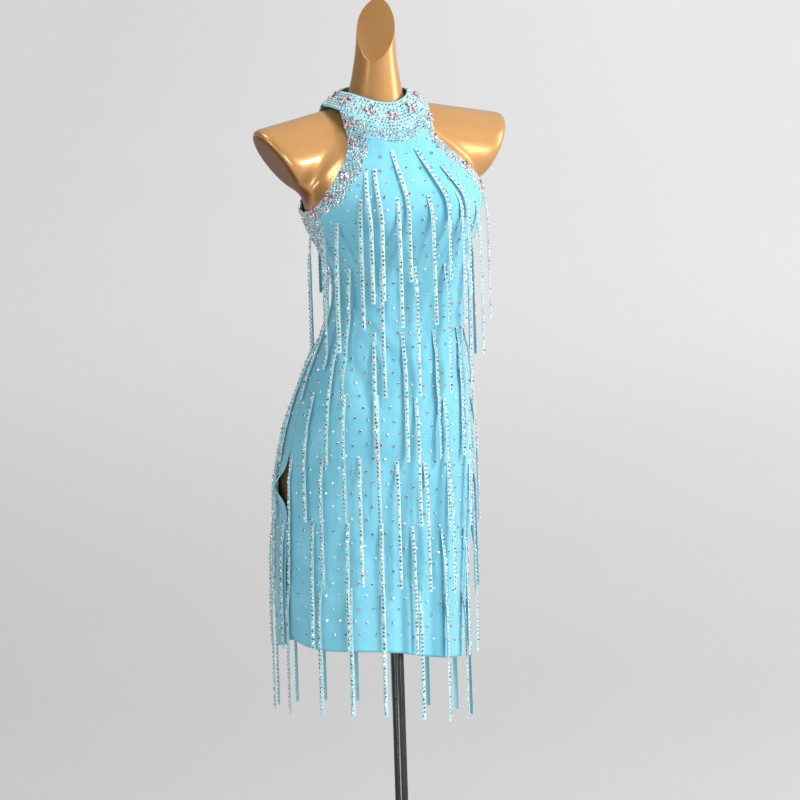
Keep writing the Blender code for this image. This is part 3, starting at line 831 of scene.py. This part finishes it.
def grid_uv(piece, points):
    """A UV map across from the grid's middle column, and up from its lowest row."""
    across = row_lengths(points)
    rises = np.linalg.norm(np.diff(points, axis=0), axis=-1)
    up = np.concatenate([np.zeros((1, points.shape[1])), np.cumsum(rises, axis=0)])
    paint_uv(piece, np.stack([across, up], axis=-1).reshape(-1, 2))


def give_wall(piece, thickness):
    """Gives a sheet its thickness, inward from its outside."""
    wall = piece.modifiers.new("wall", "SOLIDIFY")
    wall.thickness = thickness
    wall.offset = -1.0
    apply_modifiers(piece)


# Stretch jersey: brushed nylon and elastane, warp-knitted. It is matt with a pale bloom where it
# turns away, fine upright wales (drawn at 1.6 mm, real ones are 0.5 mm) and a slight mottle.
def jersey_finish(name, deep, pale):
    material, tree, shader = new_finish(
        name,
        Roughness=0.62,
        Specular_IOR_Level=0.35,
        Sheen_Weight=0.4,
        Sheen_Roughness=0.5,
        Sheen_Tint=linear("#f0fbff"),
    )
    place = add_node(tree, "ShaderNodeTexCoord")
    mottle = add_node(
        tree,
        "ShaderNodeTexNoise",
        {"Vector": place.outputs["Object"], "Scale": 16.0, "Detail": 5.0, "Roughness": 0.6},
    )
    wales = add_node(
        tree,
        "ShaderNodeTexWave",
        {"Vector": place.outputs["UV"], "Scale": 98.0, "Distortion": 0.5, "Detail": 1.0},
        bands_direction="X",
    )
    courses = add_node(
        tree,
        "ShaderNodeTexWave",
        {"Vector": place.outputs["UV"], "Scale": 120.0, "Distortion": 0.8, "Detail": 1.0},
        bands_direction="Y",
    )
    knit = add_node(
        tree,
        "ShaderNodeMath",
        {0: wales.outputs["Fac"], 1: courses.outputs["Fac"]},
        operation="MULTIPLY",
    )
    tone = add_node(
        tree,
        "ShaderNodeMapRange",
        {"Value": mottle.outputs["Fac"], 1: 0.3, 2: 0.7, 3: 0.0, 4: 0.85},
    )
    shade = add_node(
        tree,
        "ShaderNodeMix",
        {0: tone.outputs[0], 6: linear(deep), 7: linear(pale)},
        data_type="RGBA",
    )
    faint = add_node(tree, "ShaderNodeMath", {0: knit.outputs[0], 1: 0.25}, operation="MULTIPLY")
    threads = add_node(
        tree,
        "ShaderNodeMix",
        {0: faint.outputs[0], 6: shade.outputs[2], 7: linear(pale)},
        data_type="RGBA",
    )
    tree.links.new(threads.outputs[2], shader.inputs["Base Color"])
    bump = add_node(
        tree, "ShaderNodeBump", {"Height": knit.outputs[0], "Strength": 0.15, "Distance": 0.0002}
    )
    slub = add_node(
        tree,
        "ShaderNodeTexNoise",
        {"Vector": place.outputs["Object"], "Scale": 90.0, "Detail": 3.0},
    )
    uneven = add_node(
        tree,
        "ShaderNodeBump",
        {
            "Height": slub.outputs["Fac"],
            "Strength": 0.25,
            "Distance": 0.0008,
            "Normal": bump.outputs[0],
        },
    )
    tree.links.new(uneven.outputs[0], shader.inputs["Normal"])
    return material


aqua_jersey = jersey_finish("aqua_stretch_jersey", "#62adc2", "#77bed1")
panel_points = {}
panel_polar = {}
for half in ("front", "back"):
    angles, radii, heights = panel_grid(half)
    radii = slit_flare(angles, radii, heights, half)
    points = at(angles, radii, heights)
    panel = new_piece("jersey_" + half, points, grid_faces(*points.shape[:2]), aqua_jersey)
    grid_uv(panel, points)
    give_wall(panel, CLOTH_THICKNESS)
    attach(panel, "root")
    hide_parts("dress_" + half)
    panel_points[half] = points
    panel_polar[half] = (angles, radii, heights)


# ------------------------------------------------------------ neckband
# A stand collar of doubled jersey around the neck, higher behind, closed at the centre back with
# hooks. It is covered with stones from edge to edge.

band_jersey = jersey_finish("doubled_band_jersey", "#7cbfcb", "#98d0d8")
ends = SEAM_GAP / BAND_FOOT_RADIUS["back"]
band_angles = np.linspace(math.pi / 2 + ends, math.pi * 2.5 - ends, 161)
band_rows = []
for share in np.linspace(0, 1, 14):
    foot = band_foot(band_angles)
    top = at(
        band_angles,
        band_value(BAND_TOP_RADIUS, band_angles),
        band_value(BAND_TOP, band_angles),
        NECK_X,
    )
    band_rows.append(foot + (top - foot) * share)
band_points = np.array(band_rows)
band = new_piece("collar_band", band_points, grid_faces(*band_points.shape[:2]), band_jersey)
grid_uv(band, band_points)
give_wall(band, BAND_THICKNESS)
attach(band, "root")
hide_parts("neckband")


# ------------------------------------------------------------ fringe
# Eight rows of narrow strips cut from the same jersey, 208 mm long, each sewn on by its top end
# and left to hang over the row below: plumb, but for the top front ones, which slope over the
# chest. Their edges curl back a little, as cut jersey does.

TIER_COUNT = 8
TIER_STEP = 0.105
STRIP_LENGTH = 0.208
STRIP_WIDTH = 0.0070
STRIP_SLACK = 0.0042  # how far a strip hangs off the cloth below its seam
CHEST_SWAY = 0.085  # the top front strips slope toward the wearer's left, in radians
STRIP_SPACING = 0.055
# Where each full row's first strip is sewn, along the row from the wearer's right seam.
TIER_START = {2: -0.020, 3: 0.002, 4: -0.010, 5: -0.030, 6: 0.012, 7: -0.010, 8: 0.003}
rng = np.random.default_rng(18)


def tier_height(tier, angles):
    """The height where a tier's strips are sewn on: level on the skirt, arched at the bust."""
    level = HEM_HEIGHT + TIER_STEP * (TIER_COUNT + 1 - tier)
    front = np.clip(-np.sin(angles), 0, 1)
    back = np.clip(np.sin(angles), 0, 1)
    if tier == 1:
        arch = 0.052 * smooth_step(0.40, 0.84, front) + 0.030 * smooth_step(0.84, 0.97, front)
        return 1.320 + arch + 0.065 * smooth_step(0.6, 0.9, back)
    if tier == 2:
        return 1.262 + 0.068 * smooth_step(0.35, 0.80, front) + 0.050 * smooth_step(0.4, 0.9, back)
    return level + hip_lift(angles, level)


def tier_angles(tier):
    """Angles of a tier's strips, equally spaced along the row with a little unevenness."""
    if tier == 1:
        front = np.radians(270 + np.array([-37.0, -30.0, -11.0, 17.0, 33.0, 66.0]))
        back = np.radians(90 + np.array([-40.0, -22.0, -3.0, 17.0, 36.0]))
        return np.concatenate([front, back])
    fine = math.pi + np.linspace(0, math.tau, 721)
    level = tier_height(tier, fine)
    ring = at(fine, dress_radius(fine, level), level)
    length = run_along(ring)
    count = max(10, round(length[-1] / STRIP_SPACING))
    spots = TIER_START[tier] + np.arange(count) * length[-1] / count
    spots = spots + rng.uniform(-0.006, 0.006, count)
    return np.interp(np.mod(spots, length[-1]), length, fine)


STRIP_ROWS = 36
strip_lines = {}


def strip_axes(angles, twist):
    """Across a strip and out of its face, as it twists about its own length."""
    outward = np.stack([np.cos(angles), np.sin(angles), 0 * angles], axis=-1)
    sideways = np.stack([-np.sin(angles), np.cos(angles), 0 * angles], axis=-1)
    level, turned = np.cos(twist)[:, None], np.sin(twist)[:, None]
    return sideways * level + outward * turned, outward * level - sideways * turned


def hang_strip(angle, top, lift, sway):
    """The middle line of a strip: down from its seam, clear of whatever stands out on the way."""
    drops = np.linspace(0, STRIP_LENGTH, STRIP_ROWS)
    heights = top - drops
    angles = angle + sway * smooth_step(-0.02, 0.09, drops)
    resting = cloth_radius(angles, np.maximum(heights, HEM_HEIGHT)) + lift
    resting = np.where(heights < HEM_HEIGHT, -np.inf, resting)
    radii = np.maximum.accumulate(resting)
    slack = STRIP_SLACK * smooth_step(0.0, 0.05, drops) * (heights > HEM_HEIGHT)
    slack = np.maximum.accumulate(slack)
    return angles, radii + slack, heights


# The face of a strip is painted paler than its back: a painted sheen, for the gloss of the clear
# stone glue it is glazed with.
sheen_painted_jersey = jersey_finish("strip_face_painted_sheen", "#93cfda", "#b6e4ea")
fringe_jersey = jersey_finish("cut_fringe_jersey", "#72b8c9", "#84c6d6")
for tier in range(TIER_COUNT, 0, -1):
    turns = tier_angles(tier)
    lines = []
    points, faces = [], []
    for angle in turns:
        top = float(tier_height(tier, np.array(angle)))
        sway = rng.uniform(-0.006, 0.006)
        if tier == 1 and math.sin(angle) < -0.7:
            sway += CHEST_SWAY
        line = hang_strip(angle, top, 0.0014 + 0.0011 * (tier % 2), sway)
        twist = rng.uniform(-0.35, 0.35) * smooth_step(0.0, 1.0, np.linspace(-0.2, 1, STRIP_ROWS))
        if rng.random() < 0.25:
            twist = twist * 2.2
        lines.append((*line, twist))
        middle = at(*line)
        across, facing = strip_axes(line[0], twist)
        profile = []
        for spot, back in ((-1, 0.0009), (-0.55, 0.0001), (0, 0), (0.55, 0.0001), (1, 0.0009)):
            profile.append(middle + across * spot * STRIP_WIDTH / 2 - facing * back)
        for spot, back in ((1, 0.0013), (0.5, 0.0008), (-0.5, 0.0008), (-1, 0.0013)):
            profile.append(middle + across * spot * STRIP_WIDTH / 2 - facing * back)
        ring = np.stack(profile, axis=1)
        start = sum(len(block) for block in points)
        points.append(ring.reshape(-1, 3))
        sides = ring.shape[1]
        quads = grid_faces(STRIP_ROWS, sides, closed=True)[:, ::-1] + start
        faces += quads.tolist()
        faces.append([start + k for k in range(sides)])
        faces.append([start + (STRIP_ROWS - 1) * sides + k for k in range(sides - 1, -1, -1)])
    strips = new_piece(f"fringe_strips_{tier}", np.concatenate(points), faces, fringe_jersey)
    strips.data.set_sharp_from_angle(angle=math.radians(50.0))
    strips.data.materials.append(sheen_painted_jersey)
    # The strip's face side takes the paler jersey of painted sheen.
    for polygon in strips.data.polygons:
        if len(polygon.vertices) == 4 and max(v % 9 for v in polygon.vertices) <= 4:
            polygon.material_index = 1
    co = np.concatenate(points)
    turn = np.arctan2(co[:, 1], co[:, 0] - AXIS_X)
    paint_uv(strips, np.stack([turn * SEAM_RADIUS, co[:, 2]], axis=-1))
    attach(strips, "root")
    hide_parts(f"fringe_{tier}_front", f"fringe_{tier}_back")
    strip_lines[tier] = lines


# ------------------------------------------------------------ stones
# Flat-backed cut glass stones, foiled behind with a rainbow coating, glued on one by one: a close
# row on each strip, single ones all over the cloth, and packed rows at the collar and armholes.

# Foiled glass: near-white mirror facets, each stone tinted by its coating, pink, green or clear.
# A fine noise darkens it in spots, a painted sparkle.
stone_glass, tree, shader = new_finish(
    "foiled_cut_glass",
    Metallic=0.1,
    Roughness=0.15,
    Coat_Weight=0.7,
    Coat_Roughness=0.03,
)
tint = add_node(tree, "ShaderNodeAttribute", attribute_name="coating_and_painted_glints").outputs["Color"]
place = add_node(tree, "ShaderNodeTexCoord").outputs["Object"]
painted_sparkle_noise = add_node(tree, "ShaderNodeTexNoise", {"Vector": place, "Scale": 420.0, "Detail": 0.0})
painted_fire = add_node(
    tree,
    "ShaderNodeMapRange",
    {"Value": painted_sparkle_noise.outputs["Fac"], 1: 0.35, 2: 0.65, 3: 0.65, 4: 1.0},
)
colour_with_painted_light = add_node(
    tree,
    "ShaderNodeMix",
    {0: 1.0, 6: tint, 7: painted_fire.outputs[0]},
    data_type="RGBA",
    blend_type="MULTIPLY",
)
tree.links.new(colour_with_painted_light.outputs[2], shader.inputs["Base Color"])

COATINGS = np.array(
    [linear(c) for c in ("#f4fbff", "#dff7f4", "#ffe9ef", "#e9f3ff", "#d6f2e6", "#cfe4ee")]
)
ROUND = np.arange(8) * math.tau / 8
# One stone of unit width: girdle, sloping crown facets, flat table, and a flat back.
STONE = np.concatenate(
    [
        np.stack([np.cos(ROUND) / 2, np.sin(ROUND) / 2, 0 * ROUND], axis=-1),
        np.stack([np.cos(ROUND) / 2, np.sin(ROUND) / 2, 0 * ROUND + 0.10], axis=-1),
        np.stack([np.cos(ROUND) * 0.28, np.sin(ROUND) * 0.28, 0 * ROUND + 0.36], axis=-1),
    ]
)
STONE_FACES = [[k, (k + 1) % 8, 8 + (k + 1) % 8, 8 + k] for k in range(8)]
STONE_FACES += [[8 + k, 8 + (k + 1) % 8, 16 + (k + 1) % 8, 16 + k] for k in range(8)]
STONE_FACES += [[16 + k for k in range(8)], [7 - k for k in range(8)]]


def paint_coating_and_glints(piece, colours):
    """Gives each corner of each facet its colour: the coating's tint with any painted glints."""
    layer = piece.data.color_attributes.new("coating_and_painted_glints", "FLOAT_COLOR", "CORNER")
    layer.data.foreach_set("color", np.asarray(colours).astype(np.float32).ravel())


STRIP_STONE_SIZES = (0.0050, 0.0055)
STRIP_STONE_PITCH = 0.0066
PACKED_SIZES = (0.0040, 0.0047)
PACKED_PITCH = 0.0056
PACKED_CELL = 0.0042  # no two packed stones share a cube of this width
SCATTERED_SIZES = (0.0048, 0.0053)
SCATTERED_STEP = 0.0205
SCATTERED_PITCH = 0.0225


def glue_stones(name, places, normals, sizes):
    """One joined mesh of stones, each lying flat on the cloth at its place and a little tilted."""
    places = np.asarray(places)
    normals = np.asarray(normals) + rng.normal(0, 0.07, (len(places), 3))
    normals /= np.linalg.norm(normals, axis=1, keepdims=True)
    side = np.cross(normals, np.array([0.03, 0.05, 1.0]))
    side /= np.linalg.norm(side, axis=1, keepdims=True)
    up = np.cross(normals, side)
    spin = rng.uniform(0, math.tau, len(places))
    first = side * np.cos(spin)[:, None] + up * np.sin(spin)[:, None]
    second = np.cross(normals, first)
    size = np.asarray(sizes)[:, None, None]
    shape = STONE[None] * size
    points = (
        places[:, None]
        + first[:, None] * shape[..., :1]
        + second[:, None] * shape[..., 1:2]
        + normals[:, None] * (shape[..., 2:] - 0.0001)
    )
    faces = []
    for k in range(len(places)):
        faces += [[k * len(STONE) + v for v in face] for face in STONE_FACES]
    piece = new_piece(name, points, faces, stone_glass)
    piece.data.shade_flat()
    # Facet brightness is painted: bright and dark facets are painted glints and reflections, the
    # girdle is painted dim, and the table is painted bright or dark at random.
    colours = COATINGS[rng.integers(0, len(COATINGS), len(places))][:, None]
    lit = (len(places), len(STONE_FACES), 1)
    painted_facet_glints = rng.choice([0.08, 0.35, 0.8, 1.0], lit, p=[0.06, 0.12, 0.24, 0.58])
    painted_facet_glints[:, :8] = 0.15
    painted_facet_glints[:, -2] = rng.choice([0.04, 0.25, 1.0], (len(places), 1), p=[0.46, 0.24, 0.3])
    facets = colours * np.concatenate([painted_facet_glints, painted_facet_glints, painted_facet_glints, 1 + 0 * painted_facet_glints], axis=-1)
    corners = np.tile([len(face) for face in STONE_FACES], len(places))
    paint_coating_and_glints(piece, np.repeat(facets.reshape(-1, 4), corners, axis=0))
    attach(piece, "root")
    return piece


# A row of 5 mm stones down each strip, 6.6 mm apart.
for tier, lines in strip_lines.items():
    places, normals = [], []
    for angles, radii, heights, twist in lines:
        drops = np.arange(0.004, STRIP_LENGTH - 0.003, STRIP_STONE_PITCH)
        along = drops / STRIP_LENGTH * (STRIP_ROWS - 1)
        rows = np.arange(STRIP_ROWS)
        turn = np.interp(along, rows, angles)
        spin = np.interp(along, rows, twist)
        middle = at(turn, np.interp(along, rows, radii), np.interp(along, rows, heights))
        places.append(middle)
        normals.append(strip_axes(turn, spin)[1])
    places = np.concatenate(places)
    normals = np.concatenate(normals)
    sizes = rng.uniform(*STRIP_STONE_SIZES, len(places))
    glue_stones(f"strip_stones_{tier}", places, normals, sizes)


def grid_normals(points):
    across = np.gradient(points, axis=1)
    up = np.gradient(points, axis=0)
    normals = np.cross(across, up)
    return normals / np.maximum(np.linalg.norm(normals, axis=-1, keepdims=True), 1e-12)


def on_grid(grid, row, column):
    """A value of a grid between its points."""
    i = np.clip(np.floor(row).astype(int), 0, grid.shape[0] - 2)
    j = np.clip(np.floor(column).astype(int), 0, grid.shape[1] - 2)
    a = (row - i)[..., None]
    b = (column - j)[..., None]
    low = grid[i, j] * (1 - b) + grid[i, j + 1] * b
    return low * (1 - a) + (grid[i + 1, j] * (1 - b) + grid[i + 1, j + 1] * b) * a


def inward_columns(lengths, side, reach):
    """Columns of a grid row at distances in from its first or last place."""
    inward = np.abs(lengths - lengths[side])
    order = np.arange(len(lengths))
    order = order if side == 0 else order[::-1]
    return np.interp(reach, inward[order], order)


def border_stones(points, pitch, widths, from_row):
    """Rows and columns of grid places packed along a panel's two armhole edges."""
    spots = []
    lengths = row_lengths(points)
    for side in (0, points.shape[1] - 1):
        edge = points[from_row:, side]
        along = run_along(edge)
        steps = np.arange(pitch * 0.6, along[-1], pitch * 0.88)
        for k, step in enumerate(steps):
            row = from_row + np.interp(step, along, np.arange(len(along)))
            wide = np.interp(step / along[-1], np.linspace(0, 1, len(widths)), widths)
            wide = wide + rng.uniform(-0.004, 0.006)
            reach = np.arange(0.0022 + (k % 2) * pitch / 2, wide, pitch)
            spots += [(row, c) for c in inward_columns(lengths[int(round(row))], side, reach)]
    return spots


def yoke_stones(points, pitch, depth):
    """Places packed under the neckband, from the panel's top edge down."""
    rows, columns = points.shape[:2]
    rises = np.linalg.norm(np.diff(points, axis=0), axis=-1)
    spots = []
    far = np.concatenate([np.zeros((1, columns)), np.cumsum(rises[::-1], axis=0)])
    for k, down in enumerate(np.arange(0.0022, depth, pitch * 0.88)):
        fallen = [np.interp(down, far[:, j], np.arange(rows)) for j in range(columns)]
        row = rows - 1 - np.array(fallen)
        line = on_grid(points, row, np.arange(columns, dtype=float))
        along = run_along(line)
        for step in np.arange(0.002 + (k % 2) * pitch / 2, along[-1], pitch):
            column = np.interp(step, along, np.arange(columns))
            spots.append((np.interp(column, np.arange(columns), row), column))
    return spots


packed_places = {}
for half in ("front", "back"):
    points = panel_points[half]
    normals = grid_normals(points)
    first_row = BODY_ROWS - 8
    widths = (0.018, 0.044, 0.048, 0.042, 0.036, 0.032, 0.036, 0.050)
    spots = border_stones(points, PACKED_PITCH, widths, first_row)
    spots += yoke_stones(points, PACKED_PITCH, 0.020)
    spots = np.array(spots)
    places = on_grid(points, spots[:, 0], spots[:, 1])
    facing = on_grid(normals, spots[:, 0], spots[:, 1])
    kept, cells = [], set()
    for k, spot in enumerate(places):
        cell = tuple(np.floor(spot / PACKED_CELL).astype(int))
        if cell not in cells:
            cells.add(cell)
            kept.append(k)
    places, facing = places[kept], facing[kept]
    packed_places[half] = places
    sizes = rng.uniform(*PACKED_SIZES, len(places))
    glue_stones(f"armhole_stones_{half}", places, facing, sizes)

# The collar: staggered rows 5.2 mm apart, counted down from its top edge.
normals = grid_normals(band_points)
band_depth = np.linalg.norm(band_points[-1] - band_points[0], axis=-1)
columns = np.arange(band_points.shape[1])
places, facing = [], []
for k, down in enumerate(np.arange(0.0042, band_depth.max(), 0.0052)):
    row = (1 - down / band_depth) * (band_points.shape[0] - 1)
    line = on_grid(band_points, np.maximum(row, 0), columns.astype(float))
    along = run_along(line)
    steps = np.arange(0.003 + (k % 2) * 0.0029, along[-1] - 0.002, 0.0058)
    column = np.interp(steps, along, columns)
    row = np.interp(column, columns, row)
    column, row = column[row > 0.5], row[row > 0.5]
    places.append(on_grid(band_points, row, column))
    facing.append(on_grid(normals, row, column))
places = np.concatenate(places)
facing = np.concatenate(facing)
glue_stones("collar_stones", places, facing, rng.uniform(*PACKED_SIZES, len(places)))

# Single 5 mm stones over the rest of the cloth, 22 mm apart and staggered row by row.
places, facing = [], []
for k, height in enumerate(np.arange(HEM_HEIGHT + 0.009, 1.43, SCATTERED_STEP)):
    fine = math.pi + np.linspace(0, math.tau, 361)
    ring = at(fine, dress_radius(fine, height + 0 * fine), height)
    length = run_along(ring)
    count = round(length[-1] / SCATTERED_PITCH)
    spots = (np.arange(count) + 0.5 * (k % 2)) * length[-1] / count
    turn = np.interp(spots + rng.uniform(-0.0025, 0.0025, count), length, fine)
    lifted = height + hip_lift(turn, height) + rng.uniform(-0.002, 0.002, count)
    for angle, level in zip(turn, lifted):
        half = "front" if math.sin(angle) < 0 else "back"
        angles, radii, heights = panel_polar[half]
        turned = np.abs(np.mod(angles - angle + math.pi, math.tau) - math.pi)
        nearest = np.argmin(turned + 4 * np.abs(heights - level))
        row, column = divmod(int(nearest), angles.shape[1])
        if abs(heights[row, column] - level) > 0.006:
            continue
        if not 3 <= row <= len(angles) - 3 or not 3 <= column <= angles.shape[1] - 4:
            continue
        places.append(at(angle, radii[row, column], level))
        around = panel_points[half][row - 1 : row + 2, column - 1 : column + 2]
        facing.append(grid_normals(around)[1, 1])
places = np.array(places)
facing = np.array(facing)
packed = np.concatenate(list(packed_places.values()))
clear = np.array([np.min(np.linalg.norm(packed - spot, axis=1)) > 0.008 for spot in places])
places, facing = places[clear], facing[clear]
glue_stones("scattered_stones", places, facing, rng.uniform(*SCATTERED_SIZES, len(places)))


# ------------------------------------------------------------ butterfly crystals
# Eighteen-millimetre faceted crystals in the shape of a butterfly, four wings cut in one piece of
# coated glass, glued along both armholes and in a row on the collar.

# Coated glass cut deeper than the small stones: clear wings whose facets are painted pink, green
# and smoke, the coating's colours partly standing in as painted reflection of its flashes, with
# noise patches of painted near-white highlight.
wing_glass, tree, shader = new_finish(
    "coated_crystal_wings",
    Metallic=0.25,
    Roughness=0.06,
    Coat_Weight=1.0,
    Coat_Roughness=0.02,
)
tint = add_node(tree, "ShaderNodeAttribute", attribute_name="coating_and_painted_glints").outputs["Color"]
place = add_node(tree, "ShaderNodeTexCoord").outputs["Object"]
swirl = add_node(tree, "ShaderNodeTexNoise", {"Vector": place, "Scale": 260.0, "Detail": 1.0})
painted_flash_mask = add_node(tree, "ShaderNodeMapRange", {"Value": swirl.outputs["Fac"], 1: 0.52, 2: 0.66})
painted_white_flash = add_node(
    tree,
    "ShaderNodeMix",
    {0: painted_flash_mask.outputs[0], 6: tint, 7: linear("#fff4f8")},
    data_type="RGBA",
)
tree.links.new(painted_white_flash.outputs[2], shader.inputs["Base Color"])
# Wing facet colours, one drawn at random per facet: coating colours that partly stand in as painted
# reflection.
UPPER_TINTS = [linear(c) for c in ("#2c3a3c", "#3f5052", "#4d6668", "#7fb8a2", "#e58aaa")]
LOWER_TINTS = [linear(c) for c in ("#d9557f", "#e88aa6", "#f6e3ea", "#f2b39c", "#6b7f80")]
# One upper and one lower wing, outlined from the body outwards, in half widths of the crystal.
UPPER_WING = ((0.06, 0.02), (0.30, 0.48), (0.72, 0.90), (1.00, 0.78), (0.86, 0.34), (0.50, 0.02))
LOWER_WING = (
    (0.06, -0.02), (0.46, -0.02), (0.80, -0.26), (0.72, -0.66), (0.40, -0.80), (0.16, -0.44),
)
BUTTERFLY_HALF = 0.0092
BUTTERFLY_INSET = 0.013  # from the armhole's edge to a butterfly's middle


def butterflies(name, places, normals, turns):
    """One joined mesh of butterflies: each wing rises to a ridge point from its outline."""
    points, faces, colours = [], [], []
    for spot, normal, turn in zip(places, normals, turns):
        side = np.cross(np.array([0.0, 0.0, 1.0]), normal)
        side /= np.linalg.norm(side)
        up = np.cross(normal, side)
        right = side * math.cos(turn) + up * math.sin(turn)
        ahead = np.cross(normal, right)
        for mirror in (1, -1):
            for outline, tints in ((UPPER_WING, UPPER_TINTS), (LOWER_WING, LOWER_TINTS)):
                start = len(points)
                flat = np.array(outline) * BUTTERFLY_HALF
                middle = flat.mean(axis=0)
                for rise, grow in ((0.0015, 1.0), (0.0023, 1.0), (0.0038, 0.55)):
                    for x, y in middle + (flat - middle) * grow:
                        points.append(spot + right * x * mirror + ahead * y + normal * rise)
                count = len(outline)
                for ring in (0, count):
                    for k in range(count):
                        n = (k + 1) % count
                        face = [start + ring + k, start + ring + n]
                        face += [start + ring + count + n, start + ring + count + k]
                        faces.append(face if mirror > 0 else face[::-1])
                        colours += [tints[rng.integers(0, len(tints))]] * 4
                top = [start + 2 * count + k for k in range(count)]
                faces.append(top if mirror > 0 else top[::-1])
                colours += [tints[rng.integers(0, len(tints))]] * count
                foot = [start + k for k in range(count)][::-1]
                faces.append(foot if mirror > 0 else foot[::-1])
                colours += [tints[0]] * count
    piece = new_piece(name, points, faces, wing_glass)
    piece.data.shade_flat()
    paint_coating_and_glints(piece, colours)
    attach(piece, "root")
    return piece


# Along each armhole, front and back: rows of the panel grid at even shares of the edge.
places, facing = [], []
for half in ("front", "back"):
    points = panel_points[half]
    normals = grid_normals(points)
    lengths = row_lengths(points)
    for side in (0, points.shape[1] - 1):
        for share in (0.10, 0.34, 0.56, 0.76, 0.94):
            row = int(BODY_ROWS + 6 + share * (len(points) - BODY_ROWS - 9))
            column = inward_columns(lengths[row], side, BUTTERFLY_INSET)
            places.append(on_grid(points, np.array(float(row)), np.array(column)))
            facing.append(on_grid(normals, np.array(float(row)), np.array(column)))
armhole_turns = rng.uniform(-0.6, 0.6, len(places))
butterflies("armhole_butterflies", np.array(places), np.array(facing), armhole_turns)

# On the collar: nine around it, leaving the closure at the centre back free.
normals = grid_normals(band_points)
column = np.linspace(0.10, 0.90, 9) * (band_points.shape[1] - 1)
row = np.full(len(column), 0.52 * (band_points.shape[0] - 1))
butterflies(
    "collar_butterflies",
    on_grid(band_points, row, column),
    on_grid(normals, row, column),
    rng.uniform(-0.25, 0.25, len(column)),
)


# Names of the fringe strips and their stones, and of the pieces listed as on the front.
fringe_names = [f"fringe_strips_{tier}" for tier in range(1, TIER_COUNT + 1)]
stone_names = [f"strip_stones_{tier}" for tier in range(1, TIER_COUNT + 1)]
on_front = fringe_names + stone_names
on_front += ["scattered_stones", "armhole_stones_front", "armhole_butterflies"]
